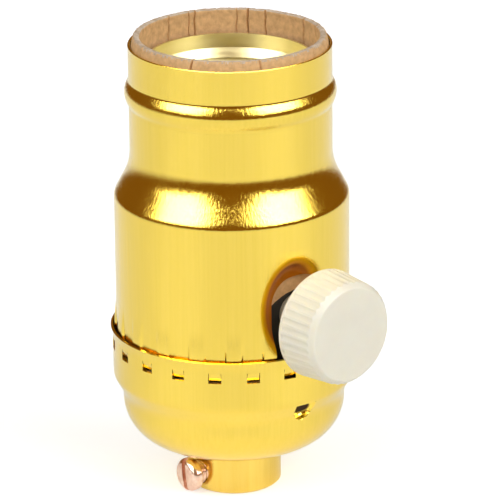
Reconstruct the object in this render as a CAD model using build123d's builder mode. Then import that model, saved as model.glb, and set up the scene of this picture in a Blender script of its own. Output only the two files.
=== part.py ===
from build123d import *
import math
import os

# Lamp socket with a turn-knob dimmer. Millimetres, +Z up, the knob points to -Y.
# The origin is the centre of the hub's lower face, where the stem screws in.

os.makedirs("parts", exist_ok=True)

# Sheet metal and fits
shell_wall = 0.4
cap_wall = 0.4
liner_wall = 1.3
liner_fit = 0.15
housing_fit = 0.2
running_fit = 0.05
loose_fit = 0.1
press_fit = 0.02
smallest_bend = 0.05

# Lamp screw shell, for a medium base
lamp_root_radius = 13.3
thread_depth = 1.1
thread_pitch = 3.63
thread_turns = 5
sections_per_turn = 8
screw_shell_wall = 0.35
thread_start = 3.25
mouth_flare = 1.6
mouth_band = 2.4
contact_island_radius = 8.2

# Shell
lamp_air_gap = 1.15
shoulder_step = 2.73
shoulder_angle = 28
shoulder_corner_radius = 2.4
shoulder_sweep_radius = 10
neck_height = 20.2
bead_drop = 8.0
bead_height = 3.8
bead_projection = 0.63
liner_projection = 1.5
liner_edge = 0.4

# Locking ribs, windows and tabs where the cap holds the shell
lock_count = 20
tab_phase = 5.9
rib_phase = tab_phase + 180 / lock_count
rib_width = 2.3
rib_height = 0.2
rib_length = 11.0
rib_fade = 1.2
tab_width = 2.15
tab_height = 1.75
tab_depth = 0.5
tab_drop = 3.5
tab_slit = 0.08
window_margin = 0.35

# Cap and hub
cap_fit = 0.07
step_width = 1.6
step_height = 2.9
step_low_radius = 4.0
step_high_radius = 2.0
cap_ring_height = 8.4
rim_flare = 0.3
rim_flare_height = 1.1
bowl_slope = 21
bowl_radius = 7.6
bowl_land = 0.21
stem_radius = 5.15
hub_wall = 2.6
hub_height = 6.3
hub_edge = 0.4
hub_neck_wall = 1.3
swage_width = 1.4
swage_height = 0.85
cap_flat = 0.45
seat_gap = 0.25
key_radius = 1.75
key_wall = 0.4
key_drop = 1.5

# Set screw
set_screw_height = 3.1
set_screw_radius = 2.05
set_screw_tip = 0.15
set_screw_stand = 1.25
set_head_radius = 2.85
set_head_height = 2.0
set_slot_width = 0.9
set_slot_depth = 1.0

# Dimmer housing, socket base and cap liner
foot_height = 1.8
foot_wall = 1.25
floor_wall = 1.6
housing_wall = 1.4
base_height = 4.4
base_drop = 2.5
spigot_height = 1.2
spigot_wall = 1.0
cap_liner_wall = 1.0

# Control, measured from the lamp axis towards the knob
board_back = 1.4
board_wall = 1.6
board_margin = 2.5
board_headroom = 1.0
switch_length = 3.4
pot_radius = 8.3
pot_wall = 0.4
pot_length = 5.2
pot_nose_radius = 4.3
pot_nose_length = 1.4
pot_floor_gap = 2.45
pot_headroom = 1.7
wafer_wall = 1.0
wiper_gap = 0.1
wiper_lift = 0.5
wiper_wall = 0.3
rotor_wall = 2.2
shaft_radius = 3.0
shaft_flat = 0.9
front_wall = 2.5
knob_travel = 300
stop_angle = 44
lug_angle = 14
stop_overlap = 0.5

# Knob
knob_gap = 3.2
knob_back_radius = 9.06
knob_front_radius = 8.58
knob_side = 6.3
knob_bevel = 1.0
knob_face_radius = 7.77
knob_wall = 1.4
knob_face_wall = 1.7
knob_hub_radius = 4.7
knob_recess = 0.7
flute_count = 40
flute_width = 1.05
flute_depth = 0.16
flute_margin = 0.55

# Slot and dish in the shell, and the cut-out in the liner
dish_rise = 2.0
dish_radius = 9.1
slot_rise = 1.5
slot_half_width = 6.15
liner_cut_half_width = 7.2
liner_cut_rise = 4.4
liner_cut_crown = 2.6

# Contacts, terminals and small parts
contact_width = 6.0
contact_wall = 0.4
contact_rise = 3.0
contact_rivet_y = 5.0
shell_rivet_x = 10.2
shell_rivet_y = 2.0
rivet_radius = 1.2
rivet_head_radius = 1.9
rivet_head_height = 0.7
strap_wall = 0.5
strap_width = 3.0
strap_x = 12.7
line_strap_inset = 0.73
terminal_x = 9.0
terminal_gap = 0.4
terminal_plate_x = 8.0
terminal_plate_y = 7.0
terminal_wall = 0.8
terminal_radius = 1.7
terminal_head_radius = 3.4
terminal_head_height = 2.0
terminal_slot = 0.9
column_angle = 45
column_radius = 2.3
assembly_radius = 1.25
assembly_head_radius = 2.2
assembly_head_height = 1.5
assembly_grip = 2.4


# Heights and radii worked out from the values above
def tan(angle):
    return math.tan(math.radians(angle))


screw_shell_radius = lamp_root_radius + screw_shell_wall
liner_neck_radius = screw_shell_radius + lamp_air_gap
neck_radius = liner_neck_radius + liner_wall + liner_fit + shell_wall
body_radius = neck_radius + shoulder_step
liner_inset = shell_wall + liner_fit
liner_inner_inset = liner_inset + liner_wall
housing_radius = body_radius - liner_inner_inset - housing_fit
housing_inner_radius = housing_radius - housing_wall
cap_radius = body_radius + rib_height + cap_fit + cap_wall
hub_radius = stem_radius + hub_wall
cap_flat_radius = hub_radius + cap_flat
bowl_wall_radius = cap_radius - step_width

bowl_corner_z = hub_height + (bowl_wall_radius - cap_flat_radius) * tan(bowl_slope)
bowl_top_z = bowl_corner_z + bowl_radius * tan((90 - bowl_slope) / 2)
step_turn = math.degrees(math.atan2(step_width, step_height))
step_low_z = bowl_top_z + bowl_land + step_low_radius * tan(step_turn / 2)
step_high_z = step_low_z + step_height
cap_rim_z = step_high_z + cap_ring_height
seat_z = step_high_z + seat_gap
floor_z = seat_z + foot_height
floor_top_z = floor_z + floor_wall
knob_z = floor_top_z + pot_floor_gap + pot_radius
housing_top_z = knob_z + pot_radius + pot_headroom
base_top_z = housing_top_z + base_height
shoulder_z = base_top_z + base_drop
neck_z = shoulder_z + shoulder_step / tan(shoulder_angle)
rim_z = neck_z + neck_height
bead_z = rim_z - bead_drop
liner_top_z = rim_z + liner_projection

board_front = board_back + board_wall
switch_front = board_front + switch_length
pot_front = switch_front + pot_length
nose_front = pot_front + pot_nose_length
housing_front = nose_front + loose_fit + front_wall
liner_dish_inner = housing_front + housing_fit
dish_floor = liner_dish_inner + liner_wall + liner_fit + shell_wall
knob_back = body_radius + knob_gap
knob_front = knob_back + knob_side + knob_bevel
wafer_front = switch_front + wafer_wall
wiper_back = wafer_front + wiper_gap
rotor_back = wiper_back + wiper_lift + wiper_wall
rotor_front = rotor_back + rotor_wall
shaft_back = wafer_front + wiper_gap
shaft_front = knob_front - knob_face_wall - loose_fit
shaft_hole_radius = shaft_radius + running_fit

front = Plane(origin=(0, 0, knob_z), x_dir=(1, 0, 0), z_dir=(0, -1, 0))
board_half_width = housing_inner_radius - board_margin
line_strap_x = board_half_width - line_strap_inset
board_low_z = floor_top_z + loose_fit
board_high_z = housing_top_z - spigot_height - board_headroom
board_y = -board_back


# Outlines
def moved(corners, radii, distance):
    """Corners and corner radii of an open outline, moved to its left by a distance."""
    points = [Vector(*corner) for corner in corners]
    ways = [(end - start).normalized() for start, end in zip(points, points[1:])]
    sides = [Vector(-way.Y, way.X) for way in ways]
    new_points = [points[0] + sides[0] * distance]
    new_radii = []
    for point, before, after, radius in zip(points[1:], sides, sides[1:], radii):
        new_points.append(point + (before + after) * (distance / (1 + before.dot(after))))
        turn = math.copysign(1, before.X * after.Y - before.Y * after.X)
        new_radii.append(max(radius - turn * distance, smallest_bend))
    new_points.append(points[-1] + sides[-1] * distance)
    return new_points, new_radii


def sheet_section(plane, corners, radii, near, far):
    """Section of a bent sheet that lies between two distances to the left of an outline."""
    near_points, near_radii = moved(corners, radii, near)
    far_points, far_radii = moved(corners, radii, far)
    with BuildSketch(plane) as section:
        with BuildLine():
            near_line = FilletPolyline(*near_points, radius=near_radii)
            far_line = FilletPolyline(*far_points, radius=far_radii)
            Line(near_line @ 0, far_line @ 0)
            Line(near_line @ 1, far_line @ 1)
        make_face()
    return section.sketch


def form_section(corners, radii, inset):
    """Half section of the solid form that an outline encloses around the lamp axis."""
    points, inner_radii = moved(corners, radii, inset)
    with BuildSketch(Plane.XZ) as section:
        with BuildLine():
            side = FilletPolyline(*points, radius=inner_radii)
            Polyline(side @ 0, (0, points[0].Y), (0, points[-1].Y), side @ 1)
        make_face()
    return section.sketch


def ring_sector(plane, inner, outer, middle_angle, size):
    """Part of a flat ring, around the plane's own axis."""
    with BuildSketch(plane) as sector:
        with BuildLine():
            inner_arc = CenterArc((0, 0), inner, middle_angle - size / 2, size)
            outer_arc = CenterArc((0, 0), outer, middle_angle - size / 2, size)
            Line(inner_arc @ 0, outer_arc @ 0)
            Line(inner_arc @ 1, outer_arc @ 1)
        make_face()
    return sector.sketch


def dished_form(inset, bottom_z, top_z):
    """Solid form of the shell, moved in by an inset, with the pressed dish around the shaft."""
    corners = [
        (body_radius, bottom_z),
        (body_radius, shoulder_z),
        (neck_radius, neck_z),
        (neck_radius, top_z),
    ]
    with BuildPart() as form:
        revolve(form_section(corners, [shoulder_corner_radius, shoulder_sweep_radius], inset), axis=Axis.Z)
        with BuildSketch(front.offset(dish_floor - inset)):
            with Locations((0, dish_rise)):
                Circle(dish_radius + inset)
        extrude(amount=body_radius, mode=Mode.SUBTRACT)
    return form.part


# Shell: ribs first, then the sheet, then its windows and the shaft slot
rib_top_z = seat_z + rib_length
rib_arc_radius = (rib_width**2 / 4 + rib_height**2) / (2 * rib_height)
tab_top_z = cap_rim_z - tab_drop + tab_height
tab_low_z = cap_rim_z - tab_drop

with BuildPart() as shell:
    with BuildSketch(Plane.XY.offset(seat_z)):
        with PolarLocations(body_radius + rib_height - rib_arc_radius, lock_count, rib_phase):
            Circle(rib_arc_radius)
        Circle(body_radius - shell_wall / 2, mode=Mode.SUBTRACT)
    extrude(amount=rib_length)
    with BuildSketch(Plane.XZ):
        with BuildLine():
            Polyline(
                (body_radius + rib_height, rib_top_z - rib_fade),
                (body_radius + 2 * rib_height, rib_top_z - rib_fade),
                (body_radius + 2 * rib_height, rib_top_z + rib_fade),
                (body_radius - rib_height, rib_top_z + rib_fade),
                close=True,
            )
        make_face()
    revolve(axis=Axis.Z, mode=Mode.SUBTRACT)
    add(dished_form(0, seat_z, rim_z))
    with BuildSketch(Plane.XZ):
        with BuildLine():
            bead_arc = SagittaArc(
                (neck_radius, bead_z - bead_height / 2),
                (neck_radius, bead_z + bead_height / 2),
                -bead_projection,
            )
            Polyline(
                bead_arc @ 1,
                (neck_radius - shell_wall / 2, bead_z + bead_height / 2),
                (neck_radius - shell_wall / 2, bead_z - bead_height / 2),
                bead_arc @ 0,
            )
        make_face()
    revolve(axis=Axis.Z)
    add(dished_form(shell_wall, seat_z - 1, rim_z + 1), mode=Mode.SUBTRACT)
    with BuildSketch(Plane.XZ):
        with BuildLine():
            inner_bead = SagittaArc(
                (neck_radius - shell_wall, bead_z - bead_height / 2),
                (neck_radius - shell_wall, bead_z + bead_height / 2),
                -bead_projection,
            )
            Line(inner_bead @ 1, inner_bead @ 0)
        make_face()
    revolve(axis=Axis.Z, mode=Mode.SUBTRACT)
    with BuildSketch(Plane.XY.offset(tab_low_z - window_margin)):
        with PolarLocations(body_radius, lock_count, tab_phase):
            Rectangle(4 * shell_wall, tab_width + 2 * window_margin)
    extrude(amount=tab_height + 2 * window_margin, mode=Mode.SUBTRACT)
    with BuildSketch(front.offset(dish_floor - 2 * shell_wall)):
        with Locations((0, slot_rise)):
            Circle(slot_half_width)
        with Locations((0, slot_rise)):
            Rectangle(2 * slot_half_width, knob_z, align=(Align.CENTER, Align.MAX))
    extrude(amount=body_radius, mode=Mode.SUBTRACT)
shell.part.label = "shell"
export_step(shell.part, "parts/shell.step")

# Insulating liner: follows the shell and stands above its rim
with BuildPart() as insulating_liner:
    add(dished_form(liner_inset, seat_z, liner_top_z))
    add(dished_form(liner_inner_inset, seat_z - 1, liner_top_z + 1), mode=Mode.SUBTRACT)
    with BuildSketch(front.offset(liner_dish_inner - liner_wall)):
        with BuildLine():
            crown = ThreePointArc(
                (-liner_cut_half_width, liner_cut_rise - liner_cut_crown),
                (0, liner_cut_rise),
                (liner_cut_half_width, liner_cut_rise - liner_cut_crown),
            )
            Polyline(crown @ 1, (liner_cut_half_width, -knob_z), (-liner_cut_half_width, -knob_z), crown @ 0)
        make_face()
    extrude(amount=body_radius, mode=Mode.SUBTRACT)
    chamfer(insulating_liner.edges().group_by(Axis.Z)[-1].sort_by(SortBy.RADIUS)[-1], liner_edge)
insulating_liner.part.label = "insulating_liner"
export_step(insulating_liner.part, "parts/insulating_liner.step")

# Cap: bowl, step and ring, with lanced tabs and the key tongue under the knob
hub_neck_radius = stem_radius + hub_neck_wall
cap_hole_radius = hub_neck_radius + running_fit
cap_corners = [
    (cap_hole_radius, hub_height),
    (cap_flat_radius, hub_height),
    (bowl_wall_radius, bowl_corner_z),
    (bowl_wall_radius, step_low_z),
    (cap_radius, step_high_z),
    (cap_radius, cap_rim_z - rim_flare_height),
    (cap_radius + rim_flare, cap_rim_z),
]
cap_radii = [1.0, bowl_radius, step_low_radius, step_high_radius, 1.0]
key_z = step_high_z - key_drop
key_y = -(bowl_wall_radius + (cap_radius - bowl_wall_radius) * (key_z - step_low_z) / step_height)

key_centre = Pos(0, key_y, key_z)
key_ball = key_centre * Sphere(key_radius)
key_hollow = key_centre * Sphere(key_radius - key_wall)
key_lower_half = key_centre * Box(
    4 * key_radius, 4 * key_radius, 4 * key_radius, align=(Align.CENTER, Align.CENTER, Align.MAX)
)
with BuildPart() as cap_form:
    revolve(form_section(cap_corners, cap_radii, running_fit), axis=Axis.Z)
key_cut = key_hollow & key_lower_half
key_tongue = (key_ball - key_hollow) & key_lower_half & cap_form.part
tab_angle = math.degrees(tab_width / cap_radius)
slit_angle = math.degrees(tab_slit / cap_radius)

with BuildPart() as tab:
    with BuildSketch(Plane.XZ):
        with BuildLine():
            Polyline(
                (cap_radius, tab_top_z),
                (cap_radius - cap_wall, tab_top_z),
                (cap_radius - cap_wall - tab_depth, tab_low_z),
                (cap_radius - tab_depth, tab_low_z),
                close=True,
            )
        make_face()
    revolve(axis=Axis.Z, revolution_arc=tab_angle)

with BuildPart() as cap:
    revolve(sheet_section(Plane.XZ, cap_corners, cap_radii, 0, cap_wall), axis=Axis.Z)
    window_sector = ring_sector(
        Plane.XY.offset(tab_low_z),
        cap_radius - 2 * cap_wall,
        cap_radius + cap_wall,
        0,
        tab_angle + 2 * slit_angle,
    )
    window = extrude(window_sector, amount=tab_height, mode=Mode.PRIVATE)
    with PolarLocations(0, lock_count, tab_phase):
        add(window, mode=Mode.SUBTRACT)
    with PolarLocations(0, lock_count, tab_phase - tab_angle / 2):
        add(tab.part)
    add(key_cut, mode=Mode.SUBTRACT)
    add(key_tongue)
cap.part.label = "cap"
export_step(cap.part, "parts/cap.step")

# Hub with the stem thread, swaged into the cap
swage_z = hub_height + cap_wall + running_fit
hub_top_z = swage_z + swage_height
with BuildPart() as stem_bushing:
    with BuildSketch():
        Circle(hub_radius)
    extrude(amount=hub_height)
    chamfer(stem_bushing.edges().group_by(Axis.Z)[0], hub_edge)
    with BuildSketch(Plane.XY.offset(hub_height)):
        Circle(hub_neck_radius)
    extrude(amount=hub_top_z - hub_height)
    with BuildSketch(Plane.XY.offset(swage_z)):
        Circle(hub_neck_radius + swage_width)
    extrude(amount=swage_height)
    with BuildSketch():
        Circle(stem_radius)
    extrude(amount=hub_top_z, mode=Mode.SUBTRACT)
    with BuildSketch(Plane.YZ):
        with Locations((0, set_screw_height)):
            Circle(set_screw_radius + running_fit)
    extrude(amount=-hub_radius, mode=Mode.SUBTRACT)
stem_bushing.part.label = "stem_bushing"
export_step(stem_bushing.part, "parts/stem_bushing.step")

screw_plane = Plane(origin=(0, 0, set_screw_height), x_dir=(0, -1, 0), z_dir=(-1, 0, 0))
set_head_seat = hub_radius + set_screw_stand
with BuildPart() as set_screw:
    with BuildSketch(screw_plane.offset(stem_radius + set_screw_tip)):
        Circle(set_screw_radius)
    extrude(amount=set_head_seat - stem_radius - set_screw_tip)
    with BuildSketch(screw_plane.offset(set_head_seat)):
        Circle(set_head_radius)
    extrude(amount=set_head_height)
    fillet(set_screw.edges().group_by(Axis.X)[0], set_head_height * 0.45)
    with BuildSketch(screw_plane.offset(set_head_seat + set_head_height - set_slot_depth)):
        Rectangle(set_slot_width, 3 * set_head_radius)
    extrude(amount=set_head_height, mode=Mode.SUBTRACT)
set_screw.part.label = "set_screw"
export_step(set_screw.part, "parts/set_screw.step")

# Fibre dish in the cap, with a notch over the key tongue
cap_liner_inset = cap_wall + liner_fit
cap_liner_lean = (cap_liner_inset + cap_liner_wall) * math.sin(math.radians(bowl_slope))
cap_liner_hole = hub_neck_radius + swage_width + liner_fit + cap_liner_lean
cap_liner_corners = [
    (cap_liner_hole, hub_height + (cap_liner_hole - cap_flat_radius) * tan(bowl_slope)),
    (bowl_wall_radius, bowl_corner_z),
    (bowl_wall_radius, seat_z - running_fit),
]
with BuildPart() as cap_liner:
    revolve(
        sheet_section(
            Plane.XZ, cap_liner_corners, [bowl_radius], cap_liner_inset, cap_liner_inset + cap_liner_wall
        ),
        axis=Axis.Z,
    )
    with BuildSketch(front.offset(bowl_wall_radius / 2)):
        with Locations((0, key_z - key_radius - liner_fit - knob_z)):
            Rectangle(2 * key_radius + key_wall, cap_ring_height, align=(Align.CENTER, Align.MIN))
    extrude(amount=bowl_wall_radius, mode=Mode.SUBTRACT)
cap_liner.part.label = "cap_liner"
export_step(cap_liner.part, "parts/cap_liner.step")

# Screw shell: each level is a circle whose centre runs around the axis once per pitch
thread_radius = lamp_root_radius - thread_depth / 2
thread_low_z = base_top_z + thread_start
thread_levels = []
for level in range(thread_turns * sections_per_turn + 1):
    turn = level / sections_per_turn
    fade = min(1, turn * 2, (thread_turns - turn) * 2)
    level_z = thread_low_z + turn * thread_pitch
    thread_levels.append((level_z, thread_radius, fade * thread_depth / 2, turn * 360))
thread_high_z = thread_low_z + thread_turns * thread_pitch
band_z = thread_high_z + mouth_flare
mouth_z = band_z + mouth_band


def thread_form(wall):
    """Solid inside the threaded wall, grown by a wall thickness."""
    with BuildPart() as form:
        for level_z, radius, offset_radius, angle in thread_levels:
            with BuildSketch(Plane.XY.offset(level_z)):
                with PolarLocations(offset_radius, 1, angle):
                    Circle(radius + wall)
        loft()
        with BuildSketch(Plane.XZ):
            with BuildLine():
                Polyline(
                    (0, thread_high_z),
                    (thread_radius + wall, thread_high_z),
                    (lamp_root_radius + wall, band_z),
                    (lamp_root_radius + wall, mouth_z),
                    (0, mouth_z),
                    close=True,
                )
            make_face()
        revolve(axis=Axis.Z)
        with BuildSketch(Plane.XY.offset(base_top_z + screw_shell_wall - wall)):
            Circle(thread_radius + wall)
        extrude(amount=thread_start - screw_shell_wall + wall)
    return form.part


with BuildPart() as screw_shell:
    add(thread_form(screw_shell_wall))
    add(thread_form(0), mode=Mode.SUBTRACT)
    with BuildSketch(Plane.XY.offset(base_top_z)):
        Circle(contact_island_radius)
        with Locations((-shell_rivet_x, shell_rivet_y), (shell_rivet_x, shell_rivet_y)):
            Circle(rivet_radius + running_fit)
    extrude(amount=thread_start, mode=Mode.SUBTRACT)
screw_shell.part.label = "screw_shell"
export_step(screw_shell.part, "parts/screw_shell.step")

# Spring contact under the lamp's tip
contact_corners = [
    (contact_rivet_y + 1.4 * rivet_head_radius, base_top_z),
    (contact_rivet_y - 1.1 * rivet_head_radius, base_top_z),
    (contact_rivet_y - 2.0 * rivet_head_radius, base_top_z + contact_rise - contact_wall),
    (-2.2, base_top_z + contact_rise),
    (-3.6, base_top_z + contact_rise / 2),
]
with BuildPart() as center_contact:
    extrude(
        sheet_section(Plane.YZ, contact_corners, [0.6, 1.0, 1.0], 0, -contact_wall),
        amount=contact_width / 2,
        both=True,
    )
    with BuildSketch(Plane.XY.offset(base_top_z)):
        with Locations((0, contact_rivet_y)):
            Circle(rivet_radius + running_fit)
    extrude(amount=contact_wall, mode=Mode.SUBTRACT)
center_contact.part.label = "center_contact"
export_step(center_contact.part, "parts/center_contact.step")


def rivets(places, low_z, high_z):
    """Plain rivets with a head at each end, standing at the given places."""
    with BuildPart() as group:
        with BuildSketch(Plane.XY.offset(low_z)):
            with Locations(*places):
                Circle(rivet_radius)
        extrude(amount=high_z - low_z)
        with BuildSketch(Plane.XY.offset(high_z)):
            with Locations(*places):
                Circle(rivet_head_radius)
        extrude(amount=rivet_head_height)
        with BuildSketch(Plane.XY.offset(low_z)):
            with Locations(*places):
                Circle(rivet_head_radius)
        extrude(amount=-rivet_head_height)
    return group.part


shell_rivet_places = [(-shell_rivet_x, shell_rivet_y), (shell_rivet_x, shell_rivet_y)]
with BuildPart() as contact_rivet:
    add(rivets([(0, contact_rivet_y)], housing_top_z, base_top_z + contact_wall))
contact_rivet.part.label = "contact_rivet"
export_step(contact_rivet.part, "parts/contact_rivet.step")

with BuildPart() as shell_rivets:
    add(rivets(shell_rivet_places, housing_top_z - strap_wall, base_top_z + screw_shell_wall))
shell_rivets.part.label = "shell_rivets"
export_step(shell_rivets.part, "parts/shell_rivets.step")

# Moulded base of the socket, spigoted into the housing
foot_inner_radius = housing_radius - foot_wall
column_ring = foot_inner_radius - assembly_head_radius - loose_fit
column_places = PolarLocations(column_ring, 2, column_angle, 180 - 2 * column_angle, endpoint=True)
with BuildPart() as socket_base:
    with BuildSketch(Plane.XY.offset(housing_top_z)):
        Circle(housing_radius)
        with Locations((0, contact_rivet_y), *shell_rivet_places):
            Circle(rivet_radius + running_fit, mode=Mode.SUBTRACT)
    extrude(amount=base_height)
    with BuildSketch(Plane.XY.offset(housing_top_z - spigot_height)):
        Circle(housing_inner_radius - loose_fit)
        Circle(housing_inner_radius - loose_fit - spigot_wall, mode=Mode.SUBTRACT)
        with Locations(*column_places.locations):
            Circle(column_radius + loose_fit, mode=Mode.SUBTRACT)
        with Locations((0, loose_fit + housing_wall - housing_front)):
            Rectangle(
                4 * housing_radius, 2 * housing_radius, align=(Align.CENTER, Align.MAX), mode=Mode.SUBTRACT
            )
    extrude(amount=spigot_height)
    with BuildSketch(Plane.XY.offset(housing_top_z)):
        with Locations(*column_places.locations):
            Circle(assembly_radius + running_fit)
    extrude(amount=assembly_grip + loose_fit, mode=Mode.SUBTRACT)
    with BuildSketch(front.offset(housing_front)):
        Rectangle(4 * housing_radius, 4 * housing_radius)
    extrude(amount=housing_radius, mode=Mode.SUBTRACT)
socket_base.part.label = "socket_base"
export_step(socket_base.part, "parts/socket_base.step")

# Housing: a cup with a flat front, a shaft bearing, screw columns and board slots
rib_start = board_half_width - 0.6
slot_low_z = floor_top_z + 5
slot_height = 10
column_y = column_ring * math.sin(math.radians(column_angle))
terminal_y = column_y - assembly_head_radius - terminal_gap - terminal_plate_y / 2
terminal_places = [(-terminal_x, terminal_y), (terminal_x, terminal_y)]
strap_y = shell_rivet_y
with BuildPart() as dimmer_housing:
    with BuildSketch(Plane.XY.offset(seat_z)):
        Circle(housing_radius)
    extrude(amount=housing_top_z - seat_z)
    with BuildSketch(front.offset(housing_front)):
        Rectangle(4 * housing_radius, 4 * housing_radius)
    extrude(amount=housing_radius, mode=Mode.SUBTRACT)
    with BuildSketch(Plane.XY.offset(floor_top_z)):
        Circle(housing_inner_radius)
        with Locations((0, -housing_front + housing_wall)):
            Rectangle(
                4 * housing_radius, 2 * housing_radius, align=(Align.CENTER, Align.MAX), mode=Mode.SUBTRACT
            )
        with Locations(*column_places.locations):
            Circle(column_radius, mode=Mode.SUBTRACT)
    extrude(amount=housing_top_z - floor_top_z, mode=Mode.SUBTRACT)
    with BuildSketch(Plane.XY.offset(seat_z)):
        Circle(foot_inner_radius)
        with Locations((0, -housing_front + foot_wall)):
            Rectangle(
                4 * housing_radius, 2 * housing_radius, align=(Align.CENTER, Align.MAX), mode=Mode.SUBTRACT
            )
    extrude(amount=foot_height, mode=Mode.SUBTRACT)
    with BuildSketch(front.offset(nose_front + loose_fit)):
        Circle(pot_nose_radius)
    extrude(amount=front_wall)
    with BuildSketch(Plane.XY.offset(slot_low_z)):
        Circle(housing_inner_radius + housing_wall / 2)
        Rectangle(2 * rib_start, 4 * housing_radius, mode=Mode.SUBTRACT)
        with Locations((0, -board_front - running_fit - 1.1)):
            Rectangle(
                4 * housing_radius, 4 * housing_radius, align=(Align.CENTER, Align.MAX), mode=Mode.SUBTRACT
            )
        with Locations((0, -board_back + running_fit + 1.1)):
            Rectangle(
                4 * housing_radius, 4 * housing_radius, align=(Align.CENTER, Align.MIN), mode=Mode.SUBTRACT
            )
        with Locations((0, -board_back - board_wall / 2)):
            Rectangle(2 * board_half_width + 2 * loose_fit, board_wall + 2 * running_fit, mode=Mode.SUBTRACT)
    extrude(amount=slot_height)
    with BuildSketch(front):
        Circle(shaft_hole_radius)
    extrude(amount=housing_front, mode=Mode.SUBTRACT)
    with BuildSketch(Plane.XY.offset(floor_z)):
        with Locations(*terminal_places):
            Circle(terminal_radius + loose_fit)
        with Locations((-line_strap_x - strap_wall / 2, strap_y), (strap_x + strap_wall / 2, strap_y)):
            Rectangle(strap_wall + 2 * loose_fit, strap_width + 2 * loose_fit)
    extrude(amount=floor_wall, mode=Mode.SUBTRACT)
    with BuildSketch(Plane.XY.offset(floor_z)):
        with Locations(*column_places.locations):
            Circle(assembly_radius + loose_fit)
    extrude(amount=housing_top_z - floor_z, mode=Mode.SUBTRACT)
dimmer_housing.part.label = "dimmer_housing"
export_step(dimmer_housing.part, "parts/dimmer_housing.step")

with BuildPart() as assembly_screws:
    with BuildSketch(Plane.XY.offset(floor_z)):
        with Locations(*column_places.locations):
            Circle(assembly_radius)
    extrude(amount=housing_top_z + assembly_grip - floor_z)
    with BuildSketch(Plane.XY.offset(floor_z)):
        with Locations(*column_places.locations):
            Circle(assembly_head_radius)
    extrude(amount=-assembly_head_height)
assembly_screws.part.label = "assembly_screws"
export_step(assembly_screws.part, "parts/assembly_screws.step")

# Wire terminals: a plate under the floor and a strap up through it
plate_reach = terminal_x - terminal_plate_x / 2


def terminal(side, strap_corners, strap_radii):
    """Terminal plate and strap, on one side of the housing."""
    with BuildPart() as piece:
        with BuildSketch(Plane.XY.offset(floor_z)):
            with Locations((side * terminal_x, terminal_y)):
                Rectangle(terminal_plate_x, terminal_plate_y)
        extrude(amount=-terminal_wall)
        section_plane = Plane(origin=(0, strap_y, 0), x_dir=(side, 0, 0), z_dir=(0, -side, 0))
        add(
            extrude(
                sheet_section(section_plane, strap_corners, strap_radii, 0, strap_wall),
                amount=strap_width / 2,
                both=True,
                mode=Mode.PRIVATE,
            )
        )
        with BuildSketch(Plane.XY.offset(floor_z)):
            with Locations((side * terminal_x, terminal_y)):
                Circle(terminal_radius + running_fit)
        extrude(amount=-terminal_wall, mode=Mode.SUBTRACT)
    return piece.part


strap_outer_x = strap_x + strap_wall
with BuildPart() as neutral_terminal:
    add(
        terminal(
            1,
            [
                (plate_reach, floor_z - strap_wall),
                (strap_outer_x, floor_z - strap_wall),
                (strap_outer_x, housing_top_z),
                (shell_rivet_x - rivet_head_radius, housing_top_z),
            ],
            [strap_wall, strap_wall],
        )
    )
    with BuildSketch(Plane.XY.offset(housing_top_z)):
        with Locations((shell_rivet_x, shell_rivet_y)):
            Circle(rivet_radius + running_fit)
    extrude(amount=-strap_wall, mode=Mode.SUBTRACT)
neutral_terminal.part.label = "neutral_terminal"
export_step(neutral_terminal.part, "parts/neutral_terminal.step")

line_strap_outer_x = line_strap_x + strap_wall
line_tail_z = floor_top_z + 1.5
line_tail_height = 2.0
line_strap_top_z = line_tail_z + line_tail_height
with BuildPart() as line_terminal:
    add(
        terminal(
            -1,
            [
                (plate_reach, floor_z - strap_wall),
                (line_strap_outer_x, floor_z - strap_wall),
                (line_strap_outer_x, line_strap_top_z),
            ],
            [strap_wall],
        )
    )
    with BuildSketch(Plane.XY.offset(line_tail_z)):
        with Locations((-line_strap_x - strap_wall / 2, board_y)):
            Rectangle(strap_wall, strap_y - board_y, align=(Align.CENTER, Align.MIN))
    extrude(amount=line_tail_height)
line_terminal.part.label = "line_terminal"
export_step(line_terminal.part, "parts/line_terminal.step")


def terminal_screw(side):
    """Slotted binding screw under one terminal plate."""
    head_z = floor_z - terminal_wall
    with BuildPart() as screw:
        with BuildSketch(Plane.XY.offset(head_z)):
            with Locations((side * terminal_x, terminal_y)):
                Circle(terminal_head_radius)
        extrude(amount=-terminal_head_height)
        fillet(screw.edges().group_by(Axis.Z)[0], terminal_head_height * 0.4)
        with BuildSketch(Plane.XY.offset(head_z)):
            with Locations((side * terminal_x, terminal_y)):
                Circle(terminal_radius)
        extrude(amount=terminal_wall + floor_wall + loose_fit)
        with BuildSketch(Plane.XY.offset(head_z - terminal_head_height)):
            with Locations((side * terminal_x, terminal_y)):
                Rectangle(3 * terminal_head_radius, terminal_slot)
        extrude(amount=terminal_slot, mode=Mode.SUBTRACT)
    return screw.part


with BuildPart() as line_screw:
    add(terminal_screw(-1))
line_screw.part.label = "line_screw"
export_step(line_screw.part, "parts/line_screw.step")

with BuildPart() as neutral_screw:
    add(terminal_screw(1))
neutral_screw.part.label = "neutral_screw"
export_step(neutral_screw.part, "parts/neutral_screw.step")

# Circuit board and the control mounted on it
with BuildPart() as circuit_board:
    with BuildSketch(front.offset(board_back)):
        with Locations((0, board_low_z - knob_z)):
            Rectangle(2 * board_half_width, board_high_z - board_low_z, align=(Align.CENTER, Align.MIN))
    extrude(amount=board_wall)
circuit_board.part.label = "circuit_board"
export_step(circuit_board.part, "parts/circuit_board.step")

with BuildPart() as switch_case:
    with BuildSketch(front.offset(board_front)):
        Circle(pot_radius)
    extrude(amount=switch_length)
switch_case.part.label = "switch_case"
export_step(switch_case.part, "parts/switch_case.step")

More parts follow.
